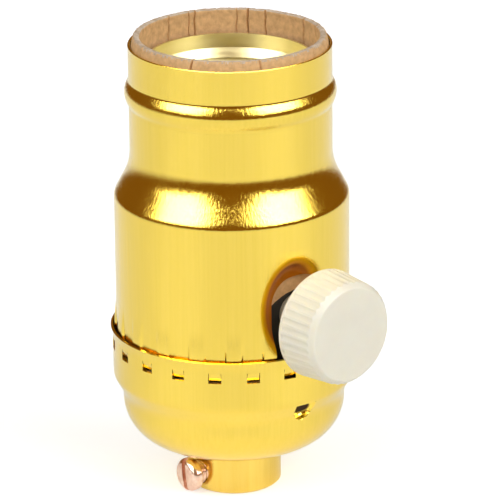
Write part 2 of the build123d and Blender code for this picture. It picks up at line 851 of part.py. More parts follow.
pot_inner_radius = pot_radius - pot_wall
with BuildPart() as resistance_wafer:
    with BuildSketch(front.offset(switch_front)):
        Circle(pot_inner_radius - running_fit)
    extrude(amount=wafer_wall)
resistance_wafer.part.label = "resistance_wafer"
export_step(resistance_wafer.part, "parts/resistance_wafer.step")

lug_outer_radius = pot_inner_radius - 0.2
stop_inner_radius = lug_outer_radius - stop_overlap
rotor_radius = stop_inner_radius - 0.3
stop_back = rotor_back - 0.2
stop_front = rotor_front + 0.2
with BuildPart() as pot_cover:
    with BuildSketch(front.offset(switch_front)):
        Circle(pot_radius)
    extrude(amount=pot_length)
    with BuildSketch(front.offset(switch_front)):
        Circle(pot_inner_radius)
    extrude(amount=pot_length - pot_wall, mode=Mode.SUBTRACT)
    with BuildSketch(front.offset(pot_front)):
        Circle(pot_nose_radius)
    extrude(amount=pot_nose_length)
    with BuildSketch(front.offset(pot_front - pot_wall)):
        Circle(shaft_hole_radius)
    extrude(amount=pot_wall + pot_nose_length, mode=Mode.SUBTRACT)
    extrude(
        ring_sector(front.offset(stop_back), stop_inner_radius, pot_radius - pot_wall / 2, -90, stop_angle),
        amount=stop_front - stop_back,
    )
pot_cover.part.label = "pot_cover"
export_step(pot_cover.part, "parts/pot_cover.step")

lug_rest_angle = -90 - (360 - knob_travel) / 2
rotor_nose_front = pot_front - pot_wall - loose_fit
with BuildPart() as rotor:
    with BuildSketch(front.offset(rotor_back)):
        Circle(rotor_radius)
    extrude(amount=rotor_wall)
    extrude(
        ring_sector(
            front.offset(rotor_back), rotor_radius - stop_overlap, lug_outer_radius, lug_rest_angle, lug_angle
        ),
        amount=rotor_wall,
    )
    with BuildSketch(front.offset(rotor_front)):
        Circle(pot_nose_radius)
    extrude(amount=rotor_nose_front - rotor_front)
    with BuildSketch(front.offset(rotor_back)):
        Circle(shaft_radius + press_fit)
    extrude(amount=pot_length, mode=Mode.SUBTRACT)
rotor.part.label = "rotor"
export_step(rotor.part, "parts/rotor.step")

wiper_plane = front.offset(rotor_back)
with BuildPart() as wiper:
    with BuildSketch(wiper_plane):
        Circle(shaft_radius + 1.4)
        Rectangle(rotor_radius - 0.8, 1.4, rotation=lug_rest_angle, align=(Align.MIN, Align.CENTER))
        Circle(shaft_radius + 0.2, mode=Mode.SUBTRACT)
    extrude(amount=-wiper_wall)
    with BuildSketch(wiper_plane.offset(-wiper_wall)):
        with PolarLocations(rotor_radius - 1.5, 1, lug_rest_angle):
            Circle(0.6)
    extrude(amount=-wiper_lift)
wiper.part.label = "wiper"
export_step(wiper.part, "parts/wiper.step")

flat_back = knob_back + knob_recess
with BuildPart() as shaft:
    with BuildSketch(front.offset(shaft_back)):
        Circle(shaft_radius)
    extrude(amount=shaft_front - shaft_back)
    with BuildSketch(front.offset(flat_back)):
        with Locations((0, shaft_radius - shaft_flat)):
            Rectangle(4 * shaft_radius, shaft_radius, align=(Align.CENTER, Align.MIN))
    extrude(amount=shaft_front - flat_back, mode=Mode.SUBTRACT)
shaft.part.label = "shaft"
export_step(shaft.part, "parts/shaft.step")

# Knob: hollow from the back, with a flatted socket for the shaft and flutes along its side
knob_profile = [
    (0, 0),
    (knob_back_radius, 0),
    (knob_front_radius, knob_side),
    (knob_face_radius, knob_side + knob_bevel),
    (0, knob_side + knob_bevel),
]
knob_axis = Axis((0, 0, knob_z), (0, -1, 0))
knob_taper = math.degrees(math.atan((knob_back_radius - knob_front_radius) / knob_side))
flute_radius = (flute_width**2 / 4 + flute_depth**2) / (2 * flute_depth)
flute_start_radius = knob_back_radius - flute_margin * tan(knob_taper)
with BuildPart() as knob:
    with BuildSketch(Plane(origin=(0, -knob_back, knob_z), x_dir=(1, 0, 0), z_dir=(0, 0, -1))):
        with BuildLine():
            Polyline(*knob_profile, close=True)
        make_face()
    revolve(axis=knob_axis)
    fillet(knob.edges().filter_by(GeomType.CIRCLE).group_by(Axis.Y)[0], 0.4)
    for index in range(flute_count):
        flute_angle = math.radians(360 * index / flute_count)
        outward = Vector(math.cos(flute_angle), 0, math.sin(flute_angle))
        along = Vector(0, -1, 0) - outward * tan(knob_taper)
        start = Vector(0, -knob_back - flute_margin, knob_z) + outward * (
            flute_start_radius - flute_depth + flute_radius
        )
        with BuildSketch(Plane(origin=start, z_dir=along)):
            Circle(flute_radius)
    extrude(amount=knob_side + knob_bevel, mode=Mode.SUBTRACT)
    with BuildSketch(front.offset(knob_back)):
        Circle(knob_back_radius - knob_wall)
        Circle(knob_hub_radius, mode=Mode.SUBTRACT)
    extrude(amount=knob_front - knob_face_wall - knob_back, taper=4, mode=Mode.SUBTRACT)
    with BuildSketch(front.offset(knob_back)):
        Circle(knob_hub_radius + 0.5)
    extrude(amount=knob_recess + loose_fit, mode=Mode.SUBTRACT)
    with BuildSketch(front.offset(knob_back)):
        Circle(shaft_radius + press_fit)
        with Locations((0, shaft_radius - shaft_flat + press_fit)):
            Rectangle(4 * shaft_radius, shaft_radius, align=(Align.CENTER, Align.MIN), mode=Mode.SUBTRACT)
    extrude(amount=knob_front - knob_face_wall - knob_back, mode=Mode.SUBTRACT)
knob.part.label = "knob"
export_step(knob.part, "parts/knob.step")

# Parts on the back of the board: capacitor and choke on the left, triac on the right
component_low_z = floor_top_z + 1.4
capacitor_width = 10.5
capacitor_height = 9.5
capacitor_depth = 6.0
capacitor_x = -board_half_width + 1.3
component_back_y = board_y + running_fit
with BuildPart() as filter_capacitor:
    with BuildSketch(Plane.XY.offset(component_low_z)):
        with Locations((capacitor_x, component_back_y)):
            Rectangle(capacitor_width, capacitor_depth, align=(Align.MIN, Align.MIN))
    extrude(amount=capacitor_height)
    fillet(filter_capacitor.edges().filter_by(Axis.Y), 0.6)
filter_capacitor.part.label = "filter_capacitor"
export_step(filter_capacitor.part, "parts/filter_capacitor.step")

choke_radius = 3.3
choke_length = 10.0
choke_flange = 1.0
choke_core_radius = 1.8
choke_winding_radius = 3.0
choke_z = component_low_z + capacitor_height + 0.3 + choke_radius
choke_plane = Plane(
    origin=(capacitor_x, component_back_y + choke_radius, choke_z), x_dir=(0, 1, 0), z_dir=(1, 0, 0)
)
with BuildPart() as choke_core:
    with BuildSketch(choke_plane):
        Circle(choke_core_radius)
    extrude(amount=choke_length)
    with BuildSketch(choke_plane, choke_plane.offset(choke_length - choke_flange)):
        Circle(choke_radius)
    extrude(amount=choke_flange)
choke_core.part.label = "choke_core"
export_step(choke_core.part, "parts/choke_core.step")

with BuildPart() as choke_winding:
    with BuildSketch(choke_plane.offset(choke_flange)):
        Circle(choke_winding_radius)
        Circle(choke_core_radius, mode=Mode.SUBTRACT)
    extrude(amount=choke_length - 2 * choke_flange)
choke_winding.part.label = "choke_winding"
export_step(choke_winding.part, "parts/choke_winding.step")

triac_width = 10.2
triac_body_height = 9.0
triac_height = 15.0
triac_depth = 4.4
triac_tab_wall = 1.3
triac_x = 1.4
triac_lead = 0.7
triac_lead_pitch = 2.54
triac_hole_radius = 1.8
triac_low_z = component_low_z + 1.6
triac_back_y = component_back_y + triac_depth
triac_middle_x = triac_x + triac_width / 2
triac_hole_z = triac_low_z + triac_height - 2.8
with BuildPart() as triac:
    with BuildSketch(Plane.XY.offset(triac_low_z)):
        with Locations((triac_x, component_back_y)):
            Rectangle(triac_width, triac_depth, align=(Align.MIN, Align.MIN))
    extrude(amount=triac_body_height)
    with BuildSketch(Plane.XY.offset(triac_low_z)):
        with Locations((triac_x, triac_back_y)):
            Rectangle(triac_width, triac_tab_wall, align=(Align.MIN, Align.MAX))
    extrude(amount=triac_height)
    with BuildSketch(Plane.XY.offset(triac_low_z)):
        with Locations((triac_middle_x, component_back_y + triac_lead / 2 + 0.1)):
            with GridLocations(triac_lead_pitch, 1, 3, 1):
                Rectangle(triac_lead, triac_lead)
    extrude(amount=component_low_z - triac_low_z)
    with BuildSketch(Plane.XZ):
        with Locations((triac_middle_x, triac_hole_z)):
            Circle(triac_hole_radius)
    extrude(amount=-2 * triac_back_y, mode=Mode.SUBTRACT)
triac.part.label = "triac"
export_step(triac.part, "parts/triac.step")

heat_plate_wall = 1.2
heat_plate_margin = 0.6
with BuildPart() as heat_plate:
    with BuildSketch(Plane.XY.offset(triac_low_z)):
        with Locations((triac_x - heat_plate_margin, triac_back_y)):
            Rectangle(triac_width + 2 * heat_plate_margin, heat_plate_wall, align=(Align.MIN, Align.MIN))
    extrude(amount=triac_height)
    with BuildSketch(Plane.XZ):
        with Locations((triac_middle_x, triac_hole_z)):
            Circle(triac_hole_radius)
    extrude(amount=-4 * triac_back_y, mode=Mode.SUBTRACT)
heat_plate.part.label = "heat_plate"
export_step(heat_plate.part, "parts/heat_plate.step")

triac_rivet_head = 0.8
triac_rivet_plane = Plane(
    origin=(triac_middle_x, triac_back_y - triac_tab_wall, triac_hole_z), x_dir=(1, 0, 0), z_dir=(0, 1, 0)
)
triac_rivet_grip = triac_tab_wall + heat_plate_wall
with BuildPart() as triac_rivet:
    with BuildSketch(triac_rivet_plane):
        Circle(triac_hole_radius - running_fit)
    extrude(amount=triac_rivet_grip)
    with BuildSketch(triac_rivet_plane.offset(-triac_rivet_head), triac_rivet_plane.offset(triac_rivet_grip)):
        Circle(triac_hole_radius + 0.9)
    extrude(amount=triac_rivet_head)
triac_rivet.part.label = "triac_rivet"
export_step(triac_rivet.part, "parts/triac_rivet.step")

# Small parts on the front of the board, in the corners beside the control
timing_width = 3.8
timing_height = 5.0
timing_depth = 3.0
board_front_y = -board_front - running_fit
with BuildPart() as timing_capacitor:
    with BuildSketch(Plane.XY.offset(component_low_z)):
        with Locations((board_half_width - 0.8, board_front_y)):
            Rectangle(timing_width, timing_depth, align=(Align.MAX, Align.MAX))
    extrude(amount=timing_height)
    fillet(timing_capacitor.edges().filter_by(Axis.Y), 0.5)
timing_capacitor.part.label = "timing_capacitor"
export_step(timing_capacitor.part, "parts/timing_capacitor.step")

lead_radius = 0.3
lead_reach = 0.9


def axial_part(x, low_z, radius, length):
    """Upright axial component on the board's front, with its leads bent back to the board."""
    centre_y = board_front_y - radius
    with BuildPart() as piece:
        with BuildSketch(Plane.XY.offset(low_z)):
            with Locations((x, centre_y)):
                Circle(radius)
        extrude(amount=length)
        with BuildSketch(Plane.XY.offset(low_z - lead_reach)):
            with Locations((x, centre_y)):
                Circle(lead_radius)
        extrude(amount=length + 2 * lead_reach)
        with BuildSketch(Plane(origin=(x, centre_y, 0), x_dir=(1, 0, 0), z_dir=(0, 1, 0))):
            with Locations(
                (0, lead_reach - lead_radius - low_z),
                (0, lead_radius - lead_reach - low_z - length),
            ):
                Circle(lead_radius)
        extrude(amount=radius)
    return piece.part


diac_radius = 1.0
diac_length = 3.6
corner_x = board_half_width - 2.4
with BuildPart() as diac:
    add(axial_part(-corner_x, component_low_z + lead_reach, diac_radius, diac_length))
diac.part.label = "diac"
export_step(diac.part, "parts/diac.step")

resistor_radius = 1.2
resistor_length = 5.6
resistor_low_z = board_high_z - resistor_length - lead_reach - 0.2
with BuildPart() as resistors:
    add(axial_part(-corner_x, resistor_low_z, resistor_radius, resistor_length))
    add(axial_part(corner_x, resistor_low_z, resistor_radius, resistor_length))
resistors.part.label = "resistors"
export_step(resistors.part, "parts/resistors.step")
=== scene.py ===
import math
import bpy
from mathutils import Matrix, Vector
from mathutils import noise as wave


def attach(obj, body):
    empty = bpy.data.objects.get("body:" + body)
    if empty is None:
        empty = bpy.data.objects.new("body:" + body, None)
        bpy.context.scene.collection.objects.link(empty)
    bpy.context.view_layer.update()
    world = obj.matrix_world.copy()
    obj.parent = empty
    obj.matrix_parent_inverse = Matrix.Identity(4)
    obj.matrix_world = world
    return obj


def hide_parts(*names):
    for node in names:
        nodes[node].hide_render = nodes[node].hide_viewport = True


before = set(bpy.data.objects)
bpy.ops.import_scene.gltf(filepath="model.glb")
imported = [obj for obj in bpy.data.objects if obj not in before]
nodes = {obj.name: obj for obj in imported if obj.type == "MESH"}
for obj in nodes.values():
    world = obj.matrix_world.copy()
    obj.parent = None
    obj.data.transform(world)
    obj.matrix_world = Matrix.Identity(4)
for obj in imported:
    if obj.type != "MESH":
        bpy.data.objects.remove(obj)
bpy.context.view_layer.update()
MM = 0.001

# Materials: the range of a noise that is used, and the fine speckle of metals
NOISE_LOW = 0.3
NOISE_HIGH = 0.7
SPECKLE = (2600, 2600, 2600)
SPECKLE_HEIGHT = 2e-6


def new_material(name):
    """A principled material, its node tree and its shader."""
    material = bpy.data.materials.new(name)
    material.use_nodes = True
    return material, material.node_tree, material.node_tree.nodes["Principled BSDF"]


def noise(tree, scale, detail=3.0, roughness=0.5):
    """Noise over object coordinates, with its own scale along each axis."""
    coordinates = tree.nodes.new("ShaderNodeTexCoord")
    mapping = tree.nodes.new("ShaderNodeMapping")
    mapping.inputs["Scale"].default_value = scale
    tree.links.new(coordinates.outputs["Object"], mapping.inputs["Vector"])
    texture = tree.nodes.new("ShaderNodeTexNoise")
    texture.inputs["Scale"].default_value = 1.0
    texture.inputs["Detail"].default_value = detail
    texture.inputs["Roughness"].default_value = roughness
    tree.links.new(mapping.outputs["Vector"], texture.inputs["Vector"])
    return texture.outputs["Fac"]


def ramp(tree, factor, stops):
    """Colours along a factor, as (position, colour) stops."""
    node = tree.nodes.new("ShaderNodeValToRGB")
    elements = node.color_ramp.elements
    while len(elements) < len(stops):
        elements.new(0.5)
    for element, (position, colour) in zip(elements, stops):
        element.position = position
        element.color = (*colour, 1.0)
    tree.links.new(factor, node.inputs["Fac"])
    return node.outputs["Color"]


def spread(tree, factor, factor_low, factor_high, low, high):
    """A factor mapped from one range to another."""
    node = tree.nodes.new("ShaderNodeMapRange")
    node.inputs["From Min"].default_value = factor_low
    node.inputs["From Max"].default_value = factor_high
    node.inputs["To Min"].default_value = low
    node.inputs["To Max"].default_value = high
    tree.links.new(factor, node.inputs["Value"])
    return node.outputs["Result"]


def bump(tree, shader, heights):
    """Bumps laid over each other, as (height, distance in metres, strength)."""
    previous = None
    for height, distance, strength in heights:
        node = tree.nodes.new("ShaderNodeBump")
        node.inputs["Distance"].default_value = distance
        node.inputs["Strength"].default_value = strength
        tree.links.new(height, node.inputs["Height"])
        if previous:
            tree.links.new(previous, node.inputs["Normal"])
        previous = node.outputs["Normal"]
    tree.links.new(previous, shader.inputs["Normal"])


def graded(tree, shader, pattern, dark, light, smoothest, roughest):
    """Colour and roughness that follow a pattern."""
    colour = ramp(tree, pattern, [(NOISE_LOW, dark), (NOISE_HIGH, light)])
    roughness = spread(tree, pattern, NOISE_LOW, NOISE_HIGH, smoothest, roughest)
    tree.links.new(colour, shader.inputs["Base Color"])
    tree.links.new(roughness, shader.inputs["Roughness"])


def metal(name, dark, light, roughness, grain, relief):
    """Metal whose grain shows in its colour, gloss and relief."""
    material, tree, shader = new_material(name)
    streaks = noise(tree, grain, 4.0, 0.6)
    graded(tree, shader, streaks, dark, light, roughness * 0.85, roughness * 1.2)
    shader.inputs["Metallic"].default_value = 1.0
    speckle = noise(tree, SPECKLE, 2.0)
    bump(tree, shader, [(streaks, relief, 0.6), (speckle, SPECKLE_HEIGHT, 0.4)])
    return material


def moulding(name, dark, light, roughness, scale, relief):
    """Plastic, board or ceramic with mottling and a fine surface."""
    material, tree, shader = new_material(name)
    mottle = noise(tree, (scale, scale, scale), 4.0, 0.6)
    graded(tree, shader, mottle, dark, light, roughness * 0.9, roughness * 1.15)
    fine = noise(tree, (scale * 6, scale * 6, scale * 6), 3.0)
    bump(tree, shader, [(mottle, relief, 0.5), (fine, relief / 3, 0.4)])
    return material


def distance_share(tree, centre, reach):
    """Distance from a point, 1 at its reach along each axis."""
    coordinates = tree.nodes.new("ShaderNodeTexCoord")
    offset = tree.nodes.new("ShaderNodeVectorMath")
    offset.operation = "SUBTRACT"
    offset.inputs[1].default_value = centre
    tree.links.new(coordinates.outputs["Object"], offset.inputs[0])
    scaled = tree.nodes.new("ShaderNodeVectorMath")
    scaled.operation = "DIVIDE"
    scaled.inputs[1].default_value = reach
    tree.links.new(offset.outputs["Vector"], scaled.inputs[0])
    length = tree.nodes.new("ShaderNodeVectorMath")
    length.operation = "LENGTH"
    tree.links.new(scaled.outputs["Vector"], length.inputs[0])
    return length.outputs["Value"]


# Gilt: scales of its patterns along each axis, and the height of their relief in metres
GILT_DARK = (0.820, 0.602, 0.084)
GILT_LIGHT = (0.860, 0.636, 0.104)
GILT_SMOOTHEST = 0.11
GILT_ROUGHEST = 0.15
DRAW_LINES = (2800, 2800, 40)
DRAW_LINE_HEIGHT = 7e-5
BROAD_WAVES = (170, 170, 60)
BROAD_WAVE_HEIGHT = 2e-5
GILT_GRAIN = (5200, 5200, 5200)
GILT_GRAIN_HEIGHT = 8e-6
# Places of the two colours and the result among a Mix node's sockets
MIX_FIRST = 6
MIX_SECOND = 7
MIX_RESULT = 2


def gilt_look(name, centre, reach, painted_shade_stops, dulled):
    """Bright lacquered gilt with faint draw lines along the axis, with painted reflection and shade in a
    hollow, where it is also dulled.
    """
    material, tree, shader = new_material(name)
    lines = noise(tree, DRAW_LINES, 4.0, 0.62)
    share = distance_share(tree, centre, reach)
    plain = ramp(tree, lines, [(NOISE_LOW, GILT_DARK), (NOISE_HIGH, GILT_LIGHT)])
    # Painted reflection and shade: the gilt colour is multiplied by stops that follow the distance from the
    # hollow's centre
    painted_shade = tree.nodes.new("ShaderNodeMix")
    painted_shade.data_type = "RGBA"
    painted_shade.blend_type = "MULTIPLY"
    painted_shade.inputs["Factor"].default_value = 1.0
    tree.links.new(plain, painted_shade.inputs[MIX_FIRST])
    tree.links.new(ramp(tree, share, painted_shade_stops), painted_shade.inputs[MIX_SECOND])
    tree.links.new(painted_shade.outputs[MIX_RESULT], shader.inputs["Base Color"])
    gloss = spread(tree, lines, NOISE_LOW, NOISE_HIGH, GILT_SMOOTHEST, GILT_ROUGHEST)
    hollow_edge = painted_shade_stops[-2][0]
    hollow_end = painted_shade_stops[-1][0]
    roughness = tree.nodes.new("ShaderNodeMath")
    roughness.operation = "ADD"
    tree.links.new(gloss, roughness.inputs[0])
    tree.links.new(spread(tree, share, hollow_edge, hollow_end, dulled, 0.0), roughness.inputs[1])
    tree.links.new(roughness.outputs["Value"], shader.inputs["Roughness"])
    shader.inputs["Metallic"].default_value = 1.0
    shader.inputs["Anisotropic"].default_value = 0.45
    shader.inputs["Coat Weight"].default_value = 0.35
    shader.inputs["Coat Roughness"].default_value = 0.08
    broad = noise(tree, BROAD_WAVES, 2.0)
    grain = noise(tree, GILT_GRAIN, 2.0)
    bump(
        tree,
        shader,
        [(broad, BROAD_WAVE_HEIGHT, 0.5), (lines, DRAW_LINE_HEIGHT, 0.7), (grain, GILT_GRAIN_HEIGHT, 0.7)],
    )
    return material


# Painted reflection and shade on the gilt, in metres: amber and brown in the dish round the shaft, where the
# pressed hollow mirrors the knob's shaded back, and dark in the cap's key scoop
DISH_PAINTED_REFLECTION_CENTRE = (-0.00265, -0.0178, 0.036)
DISH_PAINTED_REFLECTION_REACH = (0.0079, 0.04, 0.0123)
DISH_PAINTED_REFLECTION = [
    (0.600, (0.62, 0.27, 0.03)),
    (0.645, (1.05, 0.66, 0.03)),
    (0.710, (1.14, 0.95, 0.10)),
    (0.765, (1.0, 1.0, 1.0)),
]
DISH_DULLED = 0.3
# Painted shade in the key scoop: the upper part of the pressed recess is nearly black, standing for the dark
# inside that it mirrors
KEY_PAINTED_SHADE_CENTRE = (-0.0009, -0.0176, 0.0185)
KEY_PAINTED_SHADE_REACH = (0.0024, 0.0017, 0.0016)
KEY_PAINTED_SHADE = [(0.78, (0.05, 0.03, 0.02)), (0.95, (1.0, 1.0, 1.0))]
KEY_DULLED = 0.4

# Metals by slot: dark and light colour, roughness, grain along each axis, relief in metres
METALS = {
    "hub_metal": ((0.81, 0.575, 0.112), (0.86, 0.635, 0.148), 0.2, (900, 900, 60), 4e-6),
    "thread_metal": ((0.76, 0.69, 0.37), (0.82, 0.75, 0.43), 0.37, (120, 120, 900), 4e-7),
    "copper_screw": ((0.72, 0.44, 0.32), (0.93, 0.74, 0.64), 0.2, (700, 700, 700), 2e-5),
    "spring_metal": ((0.72, 0.52, 0.21), (0.83, 0.63, 0.30), 0.26, (300, 2200, 2200), 6e-6),
    "nickel_metal": ((0.60, 0.58, 0.54), (0.74, 0.72, 0.68), 0.25, (900, 900, 900), 6e-6),
    "can_metal": ((0.55, 0.55, 0.54), (0.66, 0.66, 0.65), 0.3, (900, 900, 200), 4e-6),
    "plate_aluminium": ((0.62, 0.63, 0.64), (0.73, 0.74, 0.75), 0.32, (200, 2500, 2500), 6e-6),
    "winding_copper": ((0.60, 0.25, 0.12), (0.72, 0.34, 0.18), 0.35, (2600, 60, 60), 8e-5),
}
# Plastics, boards and ceramics by slot: dark and light colour, roughness, mottle, relief in metres
MOULDINGS = {
    "kraft_board": ((0.52, 0.30, 0.118), (0.73, 0.445, 0.205), 0.85, 1100, 6e-5),
    "cut_board": ((0.40, 0.28, 0.175), (0.66, 0.53, 0.40), 0.9, 900, 8e-5),
    "fibre": ((0.10, 0.10, 0.11), (0.17, 0.17, 0.18), 0.8, 900, 3e-5),
    "ivory_plastic": ((0.835, 0.795, 0.675), (0.86, 0.825, 0.705), 0.36, 260, 4e-6),
    "shaft_plastic": ((0.72, 0.66, 0.52), (0.79, 0.73, 0.59), 0.42, 400, 1e-5),
    "black_moulding": ((0.012, 0.011, 0.010), (0.022, 0.020, 0.018), 0.5, 900, 2e-5),
    "board_material": ((0.36, 0.22, 0.09), (0.46, 0.30, 0.13), 0.55, 1200, 1e-5),
    "rotor_plastic": ((0.62, 0.59, 0.50), (0.70, 0.67, 0.58), 0.5, 500, 1e-5),
    "track_carbon": ((0.20, 0.12, 0.06), (0.28, 0.18, 0.09), 0.6, 800, 1e-5),
    "film_case": ((0.42, 0.06, 0.03), (0.52, 0.09, 0.05), 0.35, 300, 2e-5),
    "ferrite": ((0.035, 0.034, 0.036), (0.055, 0.053, 0.055), 0.6, 1500, 2e-5),
    "diac_glass": ((0.05, 0.09, 0.28), (0.08, 0.13, 0.36), 0.25, 500, 6e-6),
    "resistor_coat": ((0.52, 0.42, 0.28), (0.62, 0.51, 0.36), 0.5, 700, 1e-5),
}

looks = {
    # The plain gilt carries painted shade in the cap's key scoop, and the dished gilt carries painted
    # reflection and shade in the dish round the shaft
    "gilt": gilt_look("gilt_look", KEY_PAINTED_SHADE_CENTRE, KEY_PAINTED_SHADE_REACH, KEY_PAINTED_SHADE, KEY_DULLED),
    "dished_gilt": gilt_look("dished_gilt_look", DISH_PAINTED_REFLECTION_CENTRE, DISH_PAINTED_REFLECTION_REACH, DISH_PAINTED_REFLECTION, DISH_DULLED),
}
for slot, values in METALS.items():
    looks[slot] = metal(slot + "_look", *values)
for slot, values in MOULDINGS.items():
    looks[slot] = moulding(slot + "_look", *values)
ivory = looks["ivory_plastic"].node_tree.nodes["Principled BSDF"]
ivory.inputs["Specular IOR Level"].default_value = 0.35
ivory.inputs["Subsurface Weight"].default_value = 0.6
ivory.inputs["Subsurface Radius"].default_value = (1.0, 0.85, 0.6)
ivory.inputs["Subsurface Scale"].default_value = 0.002
for node in nodes.values():
    for place, material in enumerate(node.data.materials):
        node.data.materials[place] = looks[material.name.split(".")[0]]

# Camera at the photograph's angle, turned round the Z axis together with the studio
VIEW_AZIMUTH = math.radians(-39.25)
CAMERA_DISTANCE = 632.0 * MM
CAMERA_HEIGHT = 264.5 * MM
CAMERA_YAW = math.radians(0.265)
CAMERA_PITCH = math.radians(19.522)
CAMERA_ROLL = math.radians(-0.595)
CAMERA_LENS = 292.4
CAMERA_SENSOR = 36

forward = Vector((
    math.sin(CAMERA_YAW) * math.cos(CAMERA_PITCH),
    math.cos(CAMERA_YAW) * math.cos(CAMERA_PITCH),
    -math.sin(CAMERA_PITCH),
))
level_right = Vector((math.cos(CAMERA_YAW), -math.sin(CAMERA_YAW), 0))
level_up = level_right.cross(forward)
right = math.cos(CAMERA_ROLL) * level_right + math.sin(CAMERA_ROLL) * level_up
up = -math.sin(CAMERA_ROLL) * level_right + math.cos(CAMERA_ROLL) * level_up
turn = Matrix.Rotation(VIEW_AZIMUTH, 4, "Z")
pose = Matrix((right, up, -forward)).transposed().to_4x4()
pose.translation = Vector((0, -CAMERA_DISTANCE, CAMERA_HEIGHT))
camera = bpy.data.objects.new("camera", bpy.data.cameras.new("camera"))
camera.data.lens = CAMERA_LENS
camera.data.sensor_width = CAMERA_SENSOR
camera.data.clip_start = 0.01
camera.data.clip_end = 10
camera.matrix_world = turn @ pose
bpy.context.scene.collection.objects.link(camera)
bpy.context.scene.camera = camera


# Helpers for lines, angles and meshes, in millimetres
LINE_PITCH = 0.05


def smooth(low, high, value):
    """0 below low, 1 above high, with soft ends."""
    t = min(1.0, max(0.0, (value - low) / (high - low)))
    return t * t * (3 - 2 * t)


def soft_positive(value, softness):
    """A value where it is positive and 0 elsewhere, with a soft turn between."""
    return 0.5 * (value + math.sqrt(value * value + softness))


def apart(angle, other, period=2 * math.pi):
    """Signed step from another angle to this one, within half a period."""
    return (angle - other + period / 2) % period - period / 2


def from_front(angle):
    """Angle round the axis measured from -Y, where the knob is."""
    return apart(angle, -math.pi / 2)


def seen_angle(degrees):
    """Angle round the axis of a place given in degrees to the right of the camera."""
    return math.radians(-90 + degrees) + VIEW_AZIMUTH


def rounded(corners, radii, pitch):
    """Points along an outline whose corners are rounded, at most a pitch apart."""
    points = [Vector(corner) for corner in corners]
    line = [points[0]]
    for before, corner, after, radius in zip(points, points[1:], points[2:], radii):
        come = (corner - before).normalized()
        go = (after - corner).normalized()
        angle = math.acos(max(-1.0, min(1.0, come.dot(go))))
        reach = radius * math.tan(angle / 2)
        start = corner - come * reach
        end = corner + go * reach
        centre = corner + (go - come).normalized() * (radius / math.cos(angle / 2))
        steps = max(4, int(radius * angle / pitch))
        line.append(start)
        for step in range(1, steps):
            share = step / steps
            from_start = (start - centre) * math.sin((1 - share) * angle)
            from_end = (end - centre) * math.sin(share * angle)
            line.append(centre + (from_start + from_end) / math.sin(angle))
        line.append(end)
    line.append(points[-1])
    full = [line[0]]
    for point in line[1:]:
        start = full[-1]
        steps = max(1, math.ceil((point - start).length / pitch))
        for step in range(1, steps + 1):
            full.append(start.lerp(point, step / steps))
    return full


def thinned(line, bands, coarse):
    """Points of a line at least a pitch apart, closer in (low, high, pitch) bands of height."""
    kept = [line[0]]
    for point in line[1:-1]:
        pitch = coarse
        for low, high, fine in bands:
            if low < point.y < high:
                pitch = fine
        if (point - kept[-1]).length >= pitch:
            kept.append(point)
    kept.append(line[-1])
    return kept


def mesh_object(name, vertices, faces, shaded_smooth=False):
    """An object with a mesh in millimetres, in the scene."""
    mesh = bpy.data.meshes.new(name)
    mesh.from_pydata([(x * MM, y * MM, z * MM) for x, y, z in vertices], [], faces)
    mesh.polygons.foreach_set("use_smooth", [shaded_smooth] * len(faces))
    mesh.update()
    obj = bpy.data.objects.new(name, mesh)
    bpy.context.scene.collection.objects.link(obj)
    return obj


def turned(name, rows, steps, place, closed=True):
    """Rings whose radius and height place(row, angle) gives, in a smooth closed form or an open flat one."""
    vertices = []
    faces = []
    for row in rows:
        for step in range(steps):
            angle = 2 * math.pi * step / steps
            radius, height = place(row, angle)
            vertices.append((radius * math.cos(angle), radius * math.sin(angle), height))
    for row in range(len(rows) if closed else len(rows) - 1):
        here = row * steps
        there = ((row + 1) % len(rows)) * steps
        for step in range(steps):
            after = (step + 1) % steps
            faces.append((here + step, here + after, there + after, there + step))
    return mesh_object(name, vertices, faces, closed)


def prism(name, outline, near, far):
    """A closed prism along Y from an (x, z) outline, for cutting."""
    count = len(outline)
    vertices = [(x, -near, z) for x, z in outline]
    vertices += [(x, -far, z) for x, z in outline]
    faces = [tuple(reversed(range(count))), tuple(range(count, 2 * count))]
    for i in range(count):
        after = (i + 1) % count
        faces.append((i, after, count + after, count + i))
    return mesh_object(name, vertices, faces)


def blocks(name, turns, low, high):
    """Closed blocks between two corners, turned each by its own rotation, for cutting."""
    square = [(low[0], low[1]), (high[0], low[1]), (high[0], high[1]), (low[0], high[1])]
    corners = [(x, y, z) for z in (low[2], high[2]) for x, y in square]
    sides = [(3, 2, 1, 0), (4, 5, 6, 7), (0, 1, 5, 4), (1, 2, 6, 5), (2, 3, 7, 6), (3, 0, 4, 7)]
    vertices = []
    faces = []
    for rotation in turns:
        first = len(vertices)
        vertices += [rotation @ Vector(corner) for corner in corners]
        faces += [tuple(first + i for i in side) for side in sides]
    return mesh_object(name, vertices, faces)


def cut(obj, cutter):
    """Cuts a closed form out of a piece and keeps the piece's shading."""
    modifier = obj.modifiers.new("cut", "BOOLEAN")
    modifier.operation = "DIFFERENCE"
    modifier.solver = "MANIFOLD"
    modifier.object = cutter
    graph = bpy.context.evaluated_depsgraph_get()
    mesh = bpy.data.meshes.new_from_object(obj.evaluated_get(graph))
    obj.modifiers.clear()
    mesh.materials.clear()
    old = obj.data
    obj.data = mesh
    bpy.data.meshes.remove(old)
    bpy.data.objects.remove(cutter)


def dress(piece, sharp_degrees, *slots):
    """Sharp edges and materials of a piece."""
    piece.data.set_sharp_from_angle(angle=math.radians(sharp_degrees))
    for slot in slots:
        piece.data.materials.append(looks[slot])


